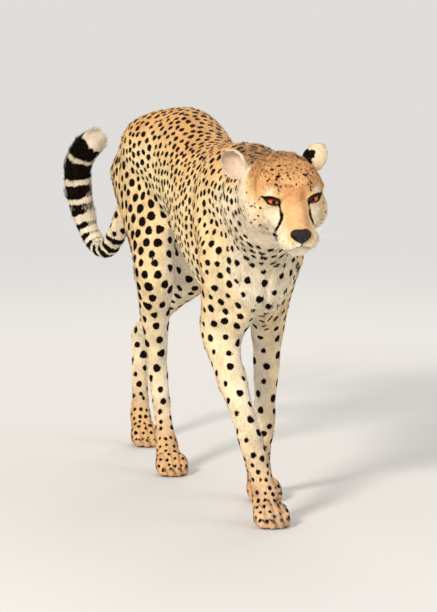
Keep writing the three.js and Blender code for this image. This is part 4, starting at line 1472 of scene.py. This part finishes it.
def tube(path, radii, around=10, closed=False):
    """Points and quads of a round tube along a path. Its ends are open, or joined if the path is closed."""
    path = np.asarray(path, float)
    radii = np.broadcast_to(radii, len(path))
    ahead = unit(np.roll(path, -1, 0) - np.roll(path, 1, 0)) if closed else unit(np.gradient(path, axis=0))
    side = unit(np.cross(ahead[0], (0.3, 0.2, 1)))
    sides = []
    for t in ahead:
        side = unit(side - (side @ t) * t)
        sides.append(side)
    sides = np.array(sides)
    ups = np.cross(ahead, sides)
    angle = np.linspace(0, 2 * math.pi, around, endpoint=False)[None, :, None]
    spokes = np.cos(angle) * sides[:, None] + np.sin(angle) * ups[:, None]
    rings = path[:, None] + radii[:, None, None] * spokes
    return rings.reshape(-1, 3), grid_faces(len(path) + closed, around) % (len(path) * around)


GAZE_OUT = {-1: math.radians(13), 1: math.radians(-1)}  # where the two eyes look, from straight ahead
IRIS_RADIUS = 12.0  # mm


def make_eye(side):
    """An eyeball with a raised cornea.

    Its attributes: off, mm from the axis it looks along; rise, mm above its middle; spoke, the direction
    round the axis, with the angle from it.
    """
    centre = eye_axes(side)[0]
    ahead = unit(HEAD.turn([side * math.sin(GAZE_OUT[side]), -math.cos(GAZE_OUT[side]), -0.02]))
    out = unit(np.cross(ahead, HEAD.turn([0, 0, 1])))
    up = np.cross(out, ahead)
    rows, around = 56, 64
    o, s = np.meshgrid(np.linspace(0, math.pi, rows), np.linspace(0, 2 * math.pi, around, endpoint=False),
                       indexing="ij")
    edge = math.asin(IRIS_RADIUS * MM / EYE_RADIUS)
    bulge = 1.3 * MM * (1 - step(o, edge * 0.55, edge * 1.15))
    ball = (EYE_RADIUS - 0.5 * MM + bulge)[..., None] * (
        np.cos(o)[..., None] * ahead + (np.sin(o) * np.cos(s))[..., None] * out
        + (np.sin(o) * np.sin(s))[..., None] * up)
    name = "eye_left" if side > 0 else "eye_right"
    obj = new_object(f"{name}_ball", (centre + ball).reshape(-1, 3), grid_faces(rows, around))
    attribute(obj.data, "off", (np.sin(np.minimum(o, math.pi / 2)) * EYE_RADIUS / MM).ravel())
    attribute(obj.data, "rise", (ball.reshape(-1, 3) @ HEAD.turn([0, 0, 1]) / MM).ravel())
    attribute(obj.data, "spoke", np.stack([np.cos(s), np.sin(s), o], -1).reshape(-1, 3), "FLOAT_VECTOR")
    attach(obj, "root")
    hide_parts(name)
    return obj


def make_rims():
    """The dark wet edges of the lids, thicker at the inner corner."""
    parts = []
    for side in (-1, 1):
        ring = closed_curve(EYE_OPENING, 90)
        path = from_eyeball(ring, side, EYE_RADIUS / MM + 0.55)
        inner = bell(lengths_of(ring - EYE_OPENING[0]), 5)
        parts.append(tube(path, (1.15 + 0.7 * inner) * MM, closed=True))
    obj = new_object("eyelid_rims", *stacked(parts))
    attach(obj, "root")
    return obj


# The middle of the left nostril's slit, in mm across and up from the nose's middle.
NOSTRIL = [(5.0, -8.5), (8.6, -6.4), (12.0, -2.6), (14.6, 1.2), (16.6, 2.8)]


def make_nose():
    """The nose leather: broad above with two lobes, drawn in to the lip below, with comma-shaped nostrils."""
    rows, around = 60, 84
    lat = np.linspace(-math.pi / 2, math.pi / 2, rows)
    lon = np.linspace(-math.pi, math.pi, around, endpoint=False)
    b, a = np.meshgrid(lat, lon, indexing="ij")
    x, y, z = np.cos(b) * np.sin(a), -np.cos(b) * np.cos(a), np.sin(b)
    x, z = np.sign(x) * np.abs(x) ** 0.72, np.sign(z) * np.abs(z) ** 0.9
    breadth = 0.24 + 0.76 * np.clip((z + 1.0) / 1.35, 0, 1) ** 0.9
    X, Y, Z = x * 20.0 * breadth, y * 12.6 + z * 3.0, z * 12.6
    Z += 0.5 * bell(np.abs(X) - 10, 6) * step(z, 0.2, 0.9) - 0.7 * bell(X, 5) * step(z, 0.3, 1.0)
    front = step(-y, 0.1, 0.5)
    flat = np.stack([np.abs(X), Z, np.zeros_like(X)], -1).reshape(-1, 3)
    wing = along_line(flat, [(*q, 0) for q in NOSTRIL])[0].reshape(X.shape)
    width = np.interp(np.abs(X), [5, 8.5, 12, 16.6], [2.0, 2.9, 1.9, 1.0])
    dent = bell(wing, width) * front
    Y += 5.2 * dent + 1.7 * bell(X, 1.3) * step(z, 0.4, -0.3) * front
    Y -= 1.5 * bell(wing - 4.2, 2.2) * front * step(z, -0.8, 0.1)
    head_points = np.stack([X, -115 + Y, -43 + Z], -1).reshape(-1, 3)
    obj = new_object("nose_leather", HEAD.out(head_points * MM), grid_faces(rows, around))
    attribute(obj.data, "painted_nostril_shade", dent.ravel())
    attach(obj, "root")
    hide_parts("nose")
    return obj


def make_claws():
    """Each foot's four blunt, hooked claws as one piece."""
    made = []
    for paw in PAW_FRAMES:
        parts = []
        for claw in paw.claws:
            c = paw.into(claw[None])[0]
            t = np.linspace(0, 1, 12)
            hook = c[2] + 2.0 + 2.2 * t - 6.4 * t ** 2.2
            path = np.stack([np.full(12, c[0]), c[1] - 9 + 13.5 * t, hook], -1)
            radii = 2.5 * (1 - t) ** 0.7 + 0.25
            parts.append(tube(paw.out(path), radii * MM))
        obj = new_object(f"claws_{paw.name}", *stacked(parts))
        attribute(obj.data, "tip", np.tile(np.repeat(t, 10), 4))
        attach(obj, "root")
        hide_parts(*paw.claw_nodes)
        made.append(obj)
    return made


def make_whiskers():
    """Long stiff hairs in rows on the upper lip."""
    rng = np.random.default_rng(71)
    parts = []
    for place, normal, side, row, t in whisker_roots:
        if row == 0 and t < 0.3:
            continue
        reach = rng.uniform(42, 66) * (0.6 + 0.4 * t)
        fan = HEAD.turn([side * 0.9, 0.15 + 0.9 * t, 0.12 - 0.22 * row])
        out = unit(normal + fan + rng.normal(0, 0.07, 3))
        drop = HEAD.turn([side * -0.1, 0.55, -0.42 - 0.12 * row])
        s = np.linspace(0, 1, 14)[:, None]
        path = place - normal * MM + reach * MM * (s * out + s ** 2 * 0.42 * drop)
        parts.append(tube(path, np.linspace(0.17, 0.04, 14) * MM, 6))
    obj = new_object("whiskers", *stacked(parts))
    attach(obj, "root")
    return obj


eyes = [make_eye(-1), make_eye(1)]
rims = make_rims()
nose = make_nose()
claws = make_claws()
whiskers = make_whiskers()

# ---- materials

SPOT_BLACK, SPOT_BROWN = (0.0032, 0.0024, 0.0022), (0.017, 0.008, 0.005)


def coat_colour(s, mark, ground):
    """The coat's ground with its dark markings, brown where a marking is thin."""
    halo = s.between(mark, -2.2, 0.2, 0.0, 0.22)
    warm = s.mix(halo, ground, UMBER)
    black = s.mix(s.between(s.noise(160), 0.35, 0.7), SPOT_BLACK, SPOT_BROWN)
    return s.mix(s.between(mark, -0.35, 0.35), warm, black)


def skin_material():
    s = Nodes(bpy.data.materials.new("skin"))
    fine = s.math("MULTIPLY_ADD", s.noise(700, 2.0), 1.8, -0.9)
    mark = s.math("ADD", s.point("mark"), fine)
    colour = coat_colour(s, mark, s.point("ground", "Color"))
    # Painted shade under the coat: the skin is unevenly darker than the tufts over it.
    shade = s.between(s.noise(900, 2.0), 0.3, 0.7, 0.66, 0.9)
    hairs = s.bump(s.noise(1500), 0.35, 0.0006)
    return s.principled(Base_Color=s.brightness(colour, shade), Roughness=0.62, Normal=hairs,
                        Specular_IOR_Level=0.03)


def tuft_material():
    s = Nodes(bpy.data.materials.new("tufts"))
    colour = coat_colour(s, s.point("mark"), s.point("ground", "Color"))
    chance, along = s.point("chance"), s.point("along")
    each = s.between(chance, 0.0, 1.0, 0.84, 1.13, "LINEAR")
    # Painted shade among the hairs: each tuft is darker at its root than at its tip.
    depth = s.between(along, 0.0, 0.8, 0.74, 1.04)
    colour = s.brightness(colour, s.math("MULTIPLY", each, depth))
    return s.principled(Base_Color=colour, Roughness=0.7, Specular_IOR_Level=0.03)


def eye_material():
    s = Nodes(bpy.data.materials.new("eye"))
    rays = s.noise(5.0, 4.0, s.scaled(s.point("spoke", "Vector"), (1.6, 1.6, 0.5)))
    rays = s.between(rays, 0.3, 0.72, 0.8, 1.2)
    ramp = s.add("ValToRGB", {"Fac": s.between(s.point("off"), 0.0, 16.5, 0.0, 1.0, "LINEAR")})
    stops = [(0.0, (0.001, 0.001, 0.001)), (0.165, (0.001, 0.001, 0.001)), (0.195, (0.14, 0.024, 0.004)),
             (0.28, (0.74, 0.150, 0.020)), (0.50, (0.66, 0.115, 0.014)), (0.62, (0.30, 0.048, 0.008)),
             (0.68, (0.012, 0.006, 0.005)), (0.76, (0.02, 0.012, 0.010)), (1.0, (0.05, 0.032, 0.027))]
    elements = ramp.color_ramp.elements
    while len(elements) < len(stops):
        elements.new(0.5)
    for element, (place, c) in zip(elements, stops):
        element.position, element.color = place, (*c, 1)
    # Painted shadow of the upper lid: the eye is darker towards its top.
    painted_lid_shadow = s.between(s.point("rise"), 0.5, 5.5, 1.0, 0.16)
    colour = s.brightness(ramp.outputs["Color"], s.math("MULTIPLY", rays, painted_lid_shadow))
    return s.principled(Base_Color=colour, Roughness=0.05, IOR=1.33, Specular_IOR_Level=0.25)


def nose_material():
    s = Nodes(bpy.data.materials.new("nose_leather"))
    grain = s.add("TexVoronoi", {"Scale": 620.0, "Vector": s.place()}, feature="DISTANCE_TO_EDGE")
    pebbles = s.between(grain.outputs["Distance"], 0.0, 0.25)
    tone = s.mix(s.between(s.noise(90), 0.35, 0.7), (0.004, 0.0035, 0.0035), (0.011, 0.008, 0.008))
    # Painted shade in the nostrils: the leather is darker in their slits.
    colour = s.mix(s.point("painted_nostril_shade"), tone, (0.003, 0.0025, 0.0025))
    return s.principled(Base_Color=colour, Roughness=s.between(s.noise(140), 0.3, 0.7, 0.34, 0.5),
                        Normal=s.bump(pebbles, 0.5, 0.0005), Specular_IOR_Level=0.3)


def rim_material():
    s = Nodes(bpy.data.materials.new("eyelid_rims"))
    tone = s.mix(s.noise(300), (0.003, 0.0025, 0.0025), (0.009, 0.006, 0.005))
    return s.principled(Base_Color=tone, Roughness=0.5, Normal=s.bump(s.noise(1200), 0.2, 0.0003),
                        Specular_IOR_Level=0.2)


def claw_material():
    s = Nodes(bpy.data.materials.new("claw"))
    streak = s.noise(300, 3.0, s.scaled(s.place(), (1, 0.2, 1)))
    horn = s.mix(s.point("tip"), (0.035, 0.024, 0.019), (0.105, 0.078, 0.058))
    colour = s.brightness(horn, s.between(streak, 0.3, 0.7, 0.6, 1.2))
    return s.principled(Base_Color=colour, Roughness=0.36, Normal=s.bump(streak, 0.15, 0.0004))


def whisker_material():
    s = Nodes(bpy.data.materials.new("whiskers"))
    tone = s.mix(s.noise(60), (0.78, 0.74, 0.68), (0.92, 0.90, 0.86))
    return s.principled(Base_Color=tone, Roughness=0.35)


def dress(material, *objects):
    for obj in objects:
        obj.data.materials.append(material)


dress(skin_material(), skin)
dress(tuft_material(), *coat)
dress(eye_material(), *eyes)
dress(nose_material(), nose)
dress(rim_material(), rims)
dress(claw_material(), *claws)
dress(whisker_material(), whiskers)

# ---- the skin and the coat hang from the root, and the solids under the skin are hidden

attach(skin, "root")
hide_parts(*FLESH)
for piece in coat:
    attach(piece, "root")
